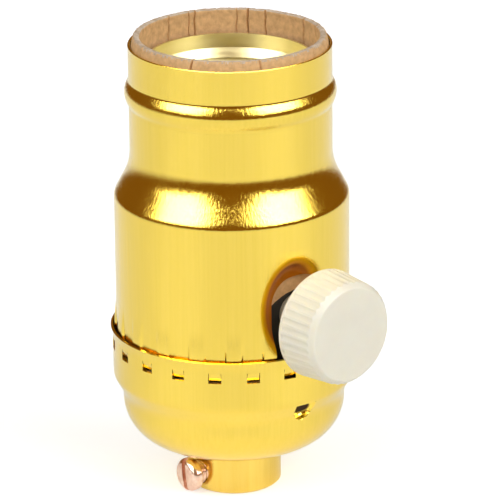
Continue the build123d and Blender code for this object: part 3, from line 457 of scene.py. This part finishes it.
# Form of the shell, round the Z axis with the knob at -Y
SHELL_LOW = 19.85
SHELL_RIM = 76.22
BODY_RADIUS = 19.38
NECK_RADIUS = 16.65
SHEET = 0.4
SHOULDER_LOW = 50.9
SHOULDER_HIGH = 56.03
SHOULDER_CORNER = 2.4
SHOULDER_SWEEP = 10
CUT_BELOW = 3
LOCK_COUNT = 20
TAB_PHASE = 5.9
RIB_PHASE = TAB_PHASE + 180 / LOCK_COUNT


def lock_turns():
    """Rotations to each of the cap's locking tabs."""
    step = 2 * math.pi / LOCK_COUNT
    return [Matrix.Rotation(math.radians(TAB_PHASE) + step * lock, 3, "Z") for lock in range(LOCK_COUNT)]


def shell_outline(inset, low, high):
    """Half outline of the shell's form, moved in by an inset."""
    slope = math.atan2(BODY_RADIUS - NECK_RADIUS, SHOULDER_HIGH - SHOULDER_LOW)
    shift = inset * math.tan(slope / 2)
    corners = [
        (BODY_RADIUS - inset, low),
        (BODY_RADIUS - inset, SHOULDER_LOW - shift),
        (NECK_RADIUS - inset, SHOULDER_HIGH - shift),
        (NECK_RADIUS - inset, high),
    ]
    return rounded(corners, [SHOULDER_CORNER - inset, SHOULDER_SWEEP + inset], LINE_PITCH)


# Dish round the shaft, pressed to a flat floor, with its edge on an upright oval
DISH_FLOOR = 17.4
DISH_X = -2.6
DISH_Z = 36.0
DISH_STRETCH = 1.42
DISH_FLAT = 6.0
DISH_EDGE = 8.55
DISH_GROWTH = 0.5
DISH_SOFTNESS = 0.06
DISH_SECTOR = math.radians(60)


def dish_depth(radius, angle, height, inset):
    """How far the dish is pressed into a form that lies inset from the shell's outside."""
    front = from_front(angle)
    if abs(front) > DISH_SECTOR:
        return 0.0
    room = radius - (DISH_FLOOR - inset) / math.cos(front)
    across = math.hypot((radius * math.sin(front) - DISH_X) * DISH_STRETCH, height - DISH_Z)
    edge = DISH_EDGE + DISH_GROWTH * inset
    return soft_positive(room, DISH_SOFTNESS) * (1 - smooth(DISH_FLAT, edge, across))


# Bead round the neck, and a faint ring pressed in below it
BEAD_Z = 68.22
BEAD_HALF = 2.05
BEAD_CROWN = 0.70
BEAD_SOFTNESS = 0.003
BEAD_FADE = 2.6
BEAD_END = 4.0
RING_Z = 66.3
RING_HALF = 0.24
RING_DEPTH = 0.05


def bead_rise(height):
    """Rise of the bead, which is steepest at its ends, less the ring."""
    off = height - BEAD_Z
    crown = BEAD_CROWN * (1 - (off / BEAD_HALF) ** 2)
    bead = soft_positive(crown, BEAD_SOFTNESS) * (1 - smooth(BEAD_FADE, BEAD_END, abs(off)))
    return bead - RING_DEPTH * math.exp(-(((height - RING_Z) / RING_HALF) ** 2))


# Locking ribs at the shell's lower end, a little higher above the cap's rim, where they run out
RIB_HEIGHT = 0.24
RIB_EXTRA = 0.08
RIB_EXTRA_LOW = 27.8
RIB_EXTRA_HIGH = 28.6
RIB_FLAT = 1.15
RIB_EDGE = 1.45
RIB_FADE_LOW = 28.4
RIB_FADE_HIGH = 33.4


def rib_rise(angle, height):
    """Rise of the ribs."""
    off = abs(apart(angle, math.radians(RIB_PHASE), 2 * math.pi / LOCK_COUNT)) * BODY_RADIUS
    full = RIB_HEIGHT + RIB_EXTRA * smooth(RIB_EXTRA_LOW, RIB_EXTRA_HIGH, height)
    return full * (1 - smooth(RIB_FLAT, RIB_EDGE, off)) * (1 - smooth(RIB_FADE_LOW, RIB_FADE_HIGH, height))


# Shell: its rows lie close together at the dish, the shoulder and the bead
OUTER_BANDS = [(28.0, 46.0, 0.5), (49.5, 58.5, 0.25), (65.2, 71.4, 0.25)]
OUTER_PITCH = 1.4
INNER_BANDS = [(25.0, 46.5, 0.9), (49.5, 58.5, 0.9), (65.2, 71.4, 0.8)]
INNER_PITCH = 2.5
SHELL_STEPS = 540
LIP_HEIGHT = 0.12
LIP_INSET = 0.1
RIM_BAND = 0.2
JAG_WAVES = 70
JAG_SEED = 3.1
JAG_DEPTH = 0.03
TORN_DEPTH = 0.16
TORN_AT = 2
TORN_SPREAD = 0.35
SLOT_TOP = 40.95
SLOT_HALF = 6.2
SLOT_CORNER = 4.4
SLOT_STEPS = 24
SLOT_NEAR = 15.0
SLOT_FAR = 25.0
WINDOW_LOW = (18.4, -1.5, 23.3)
WINDOW_HIGH = (20.2, 1.5, 26.6)


def shell_place(row, angle):
    """Radius and height of a point of the shell, whose rim is torn a little towards the camera."""
    radius, height, inset = row
    out = radius + bead_rise(height) + rib_rise(angle, height) - dish_depth(radius, angle, height, inset)
    if height > SHELL_RIM - RIM_BAND:
        near = math.exp(-((apart(angle, seen_angle(TORN_AT)) / TORN_SPREAD) ** 2))
        jag = wave.noise(Vector((math.cos(angle) * JAG_WAVES, math.sin(angle) * JAG_WAVES, JAG_SEED)))
        height -= abs(jag) * (JAG_DEPTH + TORN_DEPTH * near)
    return out, height


def slot_outline():
    """The slot for the shaft, with a round top, open at the shell's lower end."""
    outline = []
    for side, start in ((1, 0), (-1, 90)):
        for step in range(SLOT_STEPS + 1):
            angle = math.radians(start + 90 * step / SLOT_STEPS)
            across = side * (SLOT_HALF - SLOT_CORNER) + SLOT_CORNER * math.cos(angle)
            outline.append((across, SLOT_TOP - SLOT_CORNER + SLOT_CORNER * math.sin(angle)))
    return outline + [(-SLOT_HALF, SHELL_LOW - CUT_BELOW), (SLOT_HALF, SHELL_LOW - CUT_BELOW)]


def make_shell():
    """Shell sheet with the slot and the windows behind the cap's tabs."""
    outside = thinned(shell_outline(0.0, SHELL_LOW, SHELL_RIM - LIP_HEIGHT), OUTER_BANDS, OUTER_PITCH)
    inside = thinned(shell_outline(SHEET, SHELL_LOW, SHELL_RIM - LIP_HEIGHT), INNER_BANDS, INNER_PITCH)
    rows = [(point.x, point.y, 0.0) for point in outside]
    rows.append((NECK_RADIUS - LIP_INSET, SHELL_RIM, 0.0))
    rows.append((NECK_RADIUS - SHEET + LIP_INSET, SHELL_RIM, SHEET))
    rows += [(point.x, point.y, SHEET) for point in reversed(inside)]
    piece = turned("shell_sheet", rows, SHELL_STEPS, shell_place)
    cut(piece, prism("slot_cut", slot_outline(), SLOT_NEAR, SLOT_FAR))
    cut(piece, blocks("window_cut", lock_turns(), WINDOW_LOW, WINDOW_HIGH))
    dress(piece, 35, "dished_gilt")
    return piece


shell = make_shell()
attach(shell, "socket")
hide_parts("shell")

# Cap: bowl, step and flared ring, with cuts for the tabs and a pressed key scoop under the knob
CAP_RADIUS = 20.05
CAP_FLARE = 20.34
CAP_RIM = 27.99
CAP_FLARE_LOW = 26.9
BOWL_RADIUS = 18.45
CAP_CORNERS = [
    (6.5, 6.3),
    (8.2, 6.3),
    (BOWL_RADIUS, 10.235),
    (BOWL_RADIUS, 16.7),
    (CAP_RADIUS, 19.6),
    (CAP_RADIUS, CAP_FLARE_LOW),
    (CAP_FLARE, CAP_RIM),
]
CAP_RADII = [1.0, 7.6, 4.0, 2.0, 1.0]
CAP_OUTER_BANDS = [(15.9, 19.9, 0.16)]
CAP_OUTER_PITCH = 0.45
CAP_INNER_BANDS = [(15.9, 19.9, 0.25)]
CAP_INNER_PITCH = 0.8
CAP_STEPS = 640
KEY_X = -0.9
KEY_Z = 19.15
KEY_HALF = 1.95
KEY_FALL = 2.9
KEY_DEPTH = 1.6
KEY_SECTOR = math.radians(45)
TAB_LOW = 24.6
TAB_TOP = 26.25
TAB_HALF = 0.98
TAB_DEPTH = 0.7
TAB_BEND = 1.4
TAB_WALL = 0.36
TAB_STEPS = 8
TAB_CUT_LOW = (18.9, -1.07, 24.48)
TAB_CUT_HIGH = (20.9, 1.07, TAB_TOP)


def cap_place(row, angle):
    """Radius and height of a point of the cap, pressed in below the key's upper edge."""
    radius, height, base = row
    front = from_front(angle)
    if abs(front) < KEY_SECTOR and base.y < KEY_Z:
        across = (base.x * math.sin(front) - KEY_X) / KEY_HALF
        down = (KEY_Z - base.y) / KEY_FALL
        radius -= KEY_DEPTH * math.sqrt(max(0.0, 1 - across * across - down * down))
    return radius, height


def make_cap():
    """Cap sheet, of one thickness inside its outline."""
    line = rounded(CAP_CORNERS, CAP_RADII, LINE_PITCH)
    outer = [(point.x, point.y, point) for point in thinned(line, CAP_OUTER_BANDS, CAP_OUTER_PITCH)]
    inside = thinned(line, CAP_INNER_BANDS, CAP_INNER_PITCH)
    inner = []
    for before, point, after in zip([inside[0]] + inside, inside, inside[1:] + [inside[-1]]):
        along = (after - before).normalized()
        inner.append((point.x - along.y * SHEET, point.y + along.x * SHEET, point))
    piece = turned("cap_sheet", outer + inner[::-1], CAP_STEPS, cap_place)
    cut(piece, blocks("tab_cut", lock_turns(), TAB_CUT_LOW, TAB_CUT_HIGH))
    dress(piece, 35, "gilt")
    return piece


def make_tabs():
    """Lanced leaves in the cap's cuts, bent in towards their lower ends."""
    vertices = []
    faces = []
    for rotation in lock_turns():
        first = len(vertices)
        for step in range(TAB_STEPS + 1):
            share = step / TAB_STEPS
            out = CAP_RADIUS - TAB_DEPTH * share**TAB_BEND
            back = out - TAB_WALL
            z = TAB_TOP - (TAB_TOP - TAB_LOW) * share
            for radius, across in ((out, -TAB_HALF), (out, TAB_HALF), (back, TAB_HALF), (back, -TAB_HALF)):
                vertices.append(rotation @ Vector((radius, across, z)))
        faces.append(tuple(first + i for i in range(4)))
        faces.append(tuple(first + 4 * TAB_STEPS + i for i in reversed(range(4))))
        for step in range(TAB_STEPS):
            here = first + 4 * step
            for i in range(4):
                after = (i + 1) % 4
                faces.append((here + after, here + i, here + 4 + i, here + 4 + after))
    piece = mesh_object("lock_tabs", vertices, faces, True)
    dress(piece, 35, "gilt")
    return piece


cap = make_cap()
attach(cap, "socket")
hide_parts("cap")

tabs = make_tabs()
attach(tabs, "socket")

# Clamp screw: threaded shank and a pan head with a worn slot, made along Z and laid along -X
SCREW_Z = 3.1
SCREW_END = 10.99
SCREW_AXIS = 0.03
SCREW_TIP = 5.32
SCREW_TIP_RADIUS = 1.45
SHANK_LOW = 5.5
SHANK_ROWS = 68
SHANK_RADIUS = 2.05
SHANK_DEPTH = 0.26
SHANK_PITCH = 0.7
HEAD_LOW = 9.0
HEAD_EDGE = 10.8
HEAD_RADIUS = 2.85
HEAD_NECK = 1.8
HEAD_NECK_LENGTH = 0.08
HEAD_ROUNDS = [0.03, 0.3, 1.1]
HEAD_PITCH = 0.09
HEAD_WORN_FROM = 10.2
HEAD_WEAR = 0.05
HEAD_SEED = 0.3
SCREW_STEPS = 160
HEAD_SLOT_LOW = (-4.0, -0.45, 10.0)
HEAD_SLOT_HIGH = (4.0, 0.45, 12.0)
HEAD_SLOT_TURN = math.radians(9)
THREAD_ROW = 0.05
RIDGE_GAIN = 1.35
RIDGE_TRIM = 0.1


def ridge(angle, height, pitch):
    """0 in the root and 1 on the crest of a single-start thread, both with flats."""
    phase = (height / pitch - angle / (2 * math.pi)) % 1.0
    return min(1.0, max(0.0, RIDGE_GAIN * (1 - abs(2 * phase - 1)) - RIDGE_TRIM))


def screw_place(row, angle):
    """Radius and height of a point of the clamp screw."""
    radius, height, threaded = row
    if threaded:
        radius -= SHANK_DEPTH * (1 - ridge(angle, height, SHANK_PITCH))
    if height > HEAD_WORN_FROM:
        spot = Vector((radius * math.cos(angle), radius * math.sin(angle), HEAD_SEED))
        height -= HEAD_WEAR * abs(wave.noise(spot))
    return radius, height


def make_screw():
    """Clamp screw, from its tip in the hub to its head."""
    rows = [(SCREW_AXIS, SCREW_TIP, False), (SCREW_TIP_RADIUS, SCREW_TIP, False)]
    rows += [(SHANK_RADIUS, SHANK_LOW + THREAD_ROW * i, True) for i in range(SHANK_ROWS)]
    corners = [
        (HEAD_NECK, HEAD_LOW - HEAD_NECK_LENGTH),
        (HEAD_NECK, HEAD_LOW),
        (HEAD_RADIUS, HEAD_LOW),
        (HEAD_RADIUS, HEAD_EDGE),
        (SCREW_AXIS, SCREW_END),
    ]
    rows += [(point.x, point.y, False) for point in rounded(corners, HEAD_ROUNDS, HEAD_PITCH)]
    piece = turned("clamp_screw", rows, SCREW_STEPS, screw_place)
    slot_turn = Matrix.Rotation(HEAD_SLOT_TURN, 3, "Z")
    cut(piece, blocks("head_slot_cut", [slot_turn], HEAD_SLOT_LOW, HEAD_SLOT_HIGH))
    lift = Matrix.Translation((0, 0, SCREW_Z * MM))
    piece.data.transform(lift @ Matrix.Rotation(math.radians(-90), 4, "Y"))
    dress(piece, 40, "copper_screw")
    return piece


screw = make_screw()
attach(screw, "socket")
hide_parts("set_screw")

# Stem thread inside the hub
STEM_RADIUS = 5.15
STEM_LOW = 0.25
STEM_HIGH = 7.35
STEM_FADE = 0.65
STEM_PITCH = 0.94
STEM_DEPTH = 0.45
STEM_SKIN = 0.02
STEM_STEPS = 180


def thread_place(row, angle):
    """Radius and height of a point of the stem thread, whose ridges run out at both ends."""
    height, outside = row
    if outside:
        return STEM_RADIUS + STEM_SKIN, height
    fade = smooth(STEM_LOW, STEM_LOW + STEM_FADE, height)
    fade *= 1 - smooth(STEM_HIGH - STEM_FADE, STEM_HIGH, height)
    return STEM_RADIUS - STEM_SKIN - STEM_DEPTH * fade * ridge(angle, height, STEM_PITCH), height


def make_thread():
    """Stem thread, backed by a thin wall in the hub."""
    rows = [(STEM_LOW, True), (STEM_HIGH, True)]
    count = round((STEM_HIGH - STEM_LOW) / THREAD_ROW) + 1
    rows += [(STEM_HIGH - THREAD_ROW * i, False) for i in range(count)]
    piece = turned("stem_thread", rows, STEM_STEPS, thread_place)
    dress(piece, 40, "hub_metal")
    return piece


thread = make_thread()
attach(thread, "socket")

# Cardboard sleeve: cracked where it was rolled, frayed and leaning in at its top
LINER_TOP = 77.72
LINER_OUTER = 0.55
LINER_INNER = 1.85
LINER_BANDS = [(25.0, 46.5, 1.3), (49.5, 58.5, 1.6)]
LINER_PITCH = 4.0
LINER_STEPS = 960
TOP_LOW = 72.0
TOP_INNER_LOW = 71.6
TOP_ROW = 0.36
TOP_ROWS = 15
INNER_EDGE = 0.17
LEAN_LOW = 75.6
OUTER_LEAN = 0.34
OUTER_LEAN_RAGGED = 0.14
INNER_LEAN = 0.10
INNER_LEAN_RAGGED = 0.12
RAGGED_WAVES = 9
RAGGED_FINE_WAVES = 34
RAGGED_SEED = 7.7
FIBRE_WAVES = 60
FIBRE_RUN = 1.3
OUTER_FIBRES = 0.025
INNER_FIBRES = 0.035
TORN_BAND = 0.6
TORN_WAVES = 48
TORN_SEED = 1.9
TORN_FINE = 0.6
TORN_FINE_WAVES = 110
EDGE_DROP = 0.10
EDGE_RAGGED = 0.12
EDGE_TORN = 0.08
CUT_BAND = 0.9
CUT_TILT = 0.55
# Rows over the top edge, as inset from the outside, drop from the top, and side
EDGE_ROWS = [
    (0.15, 0.06, "outer"),
    (0.35, 0.0, "outer"),
    (0.70, -0.02, "outer"),
    (1.00, 0.0, "inner"),
    (1.18, 0.04, "inner"),
]
# Cracks, as degrees to the right of the camera, depth, and width in millimetres
INNER_CRACKS = [
    (222.8, 0.6, 0.10), (207.2, 0.5, 0.09), (202.9, 0.8, 0.10), (175.5, 0.5, 0.10), (168.3, 1.0, 0.15),
    (156.5, 0.8, 0.12), (125.0, 1.1, 0.15), (107.8, 1.1, 0.16), (64.0, 0.7, 0.12), (31.0, 0.5, 0.1),
    (-12.0, 0.8, 0.12), (-40.0, 0.6, 0.1), (-71.0, 0.9, 0.13),
]
OUTER_CRACKS = [
    (-63.8, 0.5, 0.10), (-23.1, 1.0, 0.12), (17.7, 0.7, 0.10), (58.0, 0.4, 0.1), (104.0, 0.8, 0.12),
    (141.0, 0.6, 0.1), (188.0, 0.9, 0.12), (231.0, 0.6, 0.1), (262.0, 0.7, 0.12),
]
CRACK_DEPTH = 0.55
CRACK_RADIUS = 15.5
CRACK_WANDER = 0.012
CRACK_RUN = 0.6
CRACK_REACH = 3
OUTER_CRACKS_FROM = 72
INNER_CRACKS_FROM = 70
LINER_CUT_HALF = 7.2
LINER_CUT_TOP = 38.4
LINER_CUT_CROWN = 2.6
LINER_CUT_STEPS = 32
LINER_CUT_NEAR = 13.5
LINER_CUT_FAR = 25.0
WAVER = 0.10
WAVER_RUN = 2.3
WAVER_SEED = 0.4


def crack(angle, height, cracks):
    """Depth of the nearest cracks, each wandering a little as it runs down."""
    deep = 0.0
    for place, depth, width in cracks:
        wander = CRACK_WANDER * wave.noise(Vector((place, height * CRACK_RUN, 0.0)))
        across = apart(angle, seen_angle(place) + wander) * CRACK_RADIUS / width
        if abs(across) < CRACK_REACH:
            deep = max(deep, CRACK_DEPTH * depth * math.exp(-across * across))
    return deep


def liner_place(row, angle):
    """Radius and height of a point of the sleeve, with its lean, cracks, fibres and torn edge."""
    radius, height, side = row
    around = Vector((math.cos(angle), math.sin(angle), 0))
    lean = smooth(LEAN_LOW, LINER_TOP, height)
    ragged = wave.noise(around * RAGGED_WAVES + Vector((0, 0, RAGGED_SEED))) * 0.5
    ragged += wave.noise(around * RAGGED_FINE_WAVES) * 0.5
    fibres = wave.noise(around * FIBRE_WAVES + Vector((0, 0, height * FIBRE_RUN)))
    if side == "outer":
        out = radius - dish_depth(radius, angle, height, LINER_OUTER)
        out -= lean * (OUTER_LEAN + OUTER_LEAN_RAGGED * ragged)
        out -= crack(angle, height, OUTER_CRACKS) if height > OUTER_CRACKS_FROM else 0.0
        out += OUTER_FIBRES * fibres
    else:
        out = radius - dish_depth(radius, angle, height, LINER_INNER)
        out -= lean * (INNER_LEAN + INNER_LEAN_RAGGED * ragged)
        out += crack(angle, height, INNER_CRACKS) if height > INNER_CRACKS_FROM else 0.0
        out += INNER_FIBRES * fibres
    if height > LINER_TOP - TORN_BAND:
        torn = wave.noise(around * TORN_WAVES + Vector((0, 0, TORN_SEED)))
        torn += TORN_FINE * wave.noise(around * TORN_FINE_WAVES)
        height -= EDGE_DROP + EDGE_RAGGED * ragged + EDGE_TORN * abs(torn)
    return out, height


def liner_cut_outline():
    """The cut-out behind the slot, under a low crown cut by hand."""
    outline = []
    for step in range(LINER_CUT_STEPS + 1):
        x = LINER_CUT_HALF * (1 - 2 * step / LINER_CUT_STEPS)
        waver = WAVER * wave.noise(Vector((x * WAVER_RUN, WAVER_SEED, 0.0)))
        outline.append((x, LINER_CUT_TOP - LINER_CUT_CROWN * (x / LINER_CUT_HALF) ** 2 + waver))
    below = SHELL_LOW - CUT_BELOW
    return outline + [(-LINER_CUT_HALF, below), (LINER_CUT_HALF, below)]


def make_sleeve():
    """Cardboard sleeve, with a paler cut edge at its top."""
    out = NECK_RADIUS - LINER_OUTER
    inner = NECK_RADIUS - LINER_INNER
    outside = thinned(shell_outline(LINER_OUTER, SHELL_LOW, TOP_LOW), LINER_BANDS, LINER_PITCH)
    inside = thinned(shell_outline(LINER_INNER, SHELL_LOW, TOP_INNER_LOW), LINER_BANDS, LINER_PITCH)
    rows = [(point.x, point.y, "outer") for point in outside]
    rows += [(out, TOP_LOW + TOP_ROW * i, "outer") for i in range(1, TOP_ROWS + 1)]
    rows += [(out - inset, LINER_TOP - drop, side) for inset, drop, side in EDGE_ROWS]
    rows += [(inner, LINER_TOP - INNER_EDGE - TOP_ROW * i, "inner") for i in range(TOP_ROWS + 1)]
    rows += [(point.x, point.y, "inner") for point in reversed(inside)]
    piece = turned("cardboard_sleeve", rows, LINER_STEPS, liner_place)
    cut(piece, prism("liner_cut", liner_cut_outline(), LINER_CUT_NEAR, LINER_CUT_FAR))
    dress(piece, 50, "kraft_board", "cut_board")
    for face in piece.data.polygons:
        if face.normal.z > CUT_TILT and face.center.z > (LINER_TOP - CUT_BAND) * MM:
            face.material_index = 1
    return piece


liner = make_sleeve()
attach(liner, "socket")
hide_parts("insulating_liner")

# Studio, in metres: soft boxes at both sides and above, each with a brighter one behind it for gloss alone
LAMP_DISTANCE = 1.7
GLOSS_STEP = 0.1
LAMP_TARGET = Vector((0, 0, 0.05))
# Name, azimuth and elevation, width and height, all in degrees, radiance, and whether for gloss alone
LAMPS = [
    ("left_box", -55, 32, 60, 42, 1.65, False),
    ("right_box", 55, 32, 60, 42, 2.15, False),
    ("top_box", 0, 63, 120, 38, 0.75, False),
    ("left_gloss", -55, 31, 46, 34, 4.2, True),
    ("right_gloss", 55, 31, 46, 34, 4.2, True),
    ("top_gloss", 0, 63, 120, 38, 2.6, True),
]


def soft_box(name, azimuth, elevation, span, rise, radiance, gloss_only):
    """An area light that faces the object: its place and its size are angles seen from the object."""
    azimuth = math.radians(azimuth)
    elevation = math.radians(elevation)
    distance = LAMP_DISTANCE + (GLOSS_STEP if gloss_only else 0.0)
    light = bpy.data.lights.new(name, "AREA")
    light.shape = "RECTANGLE"
    light.size = 2 * distance * math.tan(math.radians(span / 2)) * math.cos(elevation)
    light.size_y = 2 * distance * math.tan(math.radians(rise / 2))
    light.energy = radiance * 4 * light.size * light.size_y
    place = Vector((
        math.sin(azimuth) * math.cos(elevation),
        -math.cos(azimuth) * math.cos(elevation),
        math.sin(elevation),
    ))
    lamp = bpy.data.objects.new(name, light)
    lamp.location = turn @ (LAMP_TARGET + place * distance)
    lamp.rotation_euler = (turn.to_3x3() @ place).to_track_quat("Z", "Y").to_euler()
    lamp.visible_diffuse = not gloss_only
    bpy.context.scene.collection.objects.link(lamp)


def ray_kinds(tree, seen, mirrored):
    """A strength for camera rays, and another for glossy and transmission rays."""
    path = tree.nodes.new("ShaderNodeLightPath")
    mirror = tree.nodes.new("ShaderNodeMath")
    mirror.operation = "MAXIMUM"
    tree.links.new(path.outputs["Is Glossy Ray"], mirror.inputs[0])
    tree.links.new(path.outputs["Is Transmission Ray"], mirror.inputs[1])
    share = tree.nodes.new("ShaderNodeMath")
    share.operation = "MULTIPLY"
    share.inputs[1].default_value = mirrored
    tree.links.new(mirror.outputs["Value"], share.inputs[0])
    total = tree.nodes.new("ShaderNodeMath")
    total.operation = "MULTIPLY_ADD"
    total.inputs[1].default_value = seen
    tree.links.new(path.outputs["Is Camera Ray"], total.inputs[0])
    tree.links.new(share.outputs["Value"], total.inputs[2])
    return total.outputs["Value"]


for lamp_values in LAMPS:
    soft_box(*lamp_values)

# World: a dim warm fill, and white where it is seen
world = bpy.data.worlds.new("studio")
bpy.context.scene.world = world
world.use_nodes = True
tree = world.node_tree
fill = tree.nodes["Background"]
fill.inputs["Color"].default_value = (1.0, 0.98, 0.95, 1.0)
fill.inputs["Strength"].default_value = 0.15
white = tree.nodes.new("ShaderNodeBackground")
white.inputs["Color"].default_value = (1.0, 1.0, 1.0, 1.0)
white.inputs["Strength"].default_value = 1.0
mix = tree.nodes.new("ShaderNodeMixShader")
tree.links.new(ray_kinds(tree, 1.0, 1.0), mix.inputs["Fac"])
tree.links.new(fill.outputs["Background"], mix.inputs[1])
tree.links.new(white.outputs["Background"], mix.inputs[2])
tree.links.new(mix.outputs["Shader"], tree.nodes["World Output"].inputs["Surface"])

# Table and room, in millimetres: a pale round top under the object, and a dim dome that only gloss shows
POLE_RADIUS = 0.1
TABLE_Z = -0.2
TABLE_RADII = (POLE_RADIUS, 50, 150, 330)
TABLE_STEPS = 96
TABLE_DARK = (0.80, 0.80, 0.80)
TABLE_LIGHT = (0.82, 0.82, 0.82)
TABLE_GLOW = 0.56
TABLE_MIRRORED_GLOW = 0.34
ROOM_RADIUS = 5000
ROOM_MIDDLE = 50
ROOM_LOW = -9
ROOM_ROWS = 24
ROOM_STEPS = 64
ROOM_DARK = (0.22, 0.10, 0.012)
ROOM_LIGHT = (0.25, 0.115, 0.016)


def plain_place(row, angle):
    """A ring at the radius and height of its row."""
    return row


def make_table():
    """Round table top with the object's shadow on it."""
    rows = [(radius, TABLE_Z) for radius in TABLE_RADII]
    piece = turned("table", rows, TABLE_STEPS, plain_place, closed=False)
    material, tree, shader = new_material("table_look")
    paper = noise(tree, (40, 40, 40), 3.0)
    colour = ramp(tree, paper, [(NOISE_LOW, TABLE_DARK), (NOISE_HIGH, TABLE_LIGHT)])
    tree.links.new(colour, shader.inputs["Base Color"])
    shader.inputs["Roughness"].default_value = 0.22
    shader.inputs["IOR"].default_value = 1.055
    shader.inputs["Emission Color"].default_value = (1.0, 1.0, 1.0, 1.0)
    tree.links.new(ray_kinds(tree, TABLE_GLOW, TABLE_MIRRORED_GLOW), shader.inputs["Emission Strength"])
    piece.data.materials.append(material)
    return piece


def make_room():
    """Dome round the studio, from a little below the table to the zenith."""
    rows = []
    for step in range(ROOM_ROWS + 1):
        elevation = math.radians(ROOM_LOW + (90 - ROOM_LOW) * step / ROOM_ROWS)
        radius = max(ROOM_RADIUS * math.cos(elevation), POLE_RADIUS)
        rows.append((radius, ROOM_MIDDLE + ROOM_RADIUS * math.sin(elevation)))
    piece = turned("room", rows, ROOM_STEPS, plain_place, closed=False)
    material = bpy.data.materials.new("room_look")
    material.use_nodes = True
    tree = material.node_tree
    tree.nodes.remove(tree.nodes["Principled BSDF"])
    gloom = tree.nodes.new("ShaderNodeEmission")
    gloom.inputs["Strength"].default_value = 1.0
    colour = ramp(tree, noise(tree, (1, 1, 1)), [(NOISE_LOW, ROOM_DARK), (NOISE_HIGH, ROOM_LIGHT)])
    tree.links.new(colour, gloom.inputs["Color"])
    tree.links.new(gloom.outputs["Emission"], tree.nodes["Material Output"].inputs["Surface"])
    piece.data.materials.append(material)
    piece.visible_camera = False
    piece.visible_diffuse = False
    piece.visible_transmission = False
    piece.visible_shadow = False
    return piece


make_table()
make_room()

bpy.context.scene.view_settings.view_transform = "Standard"
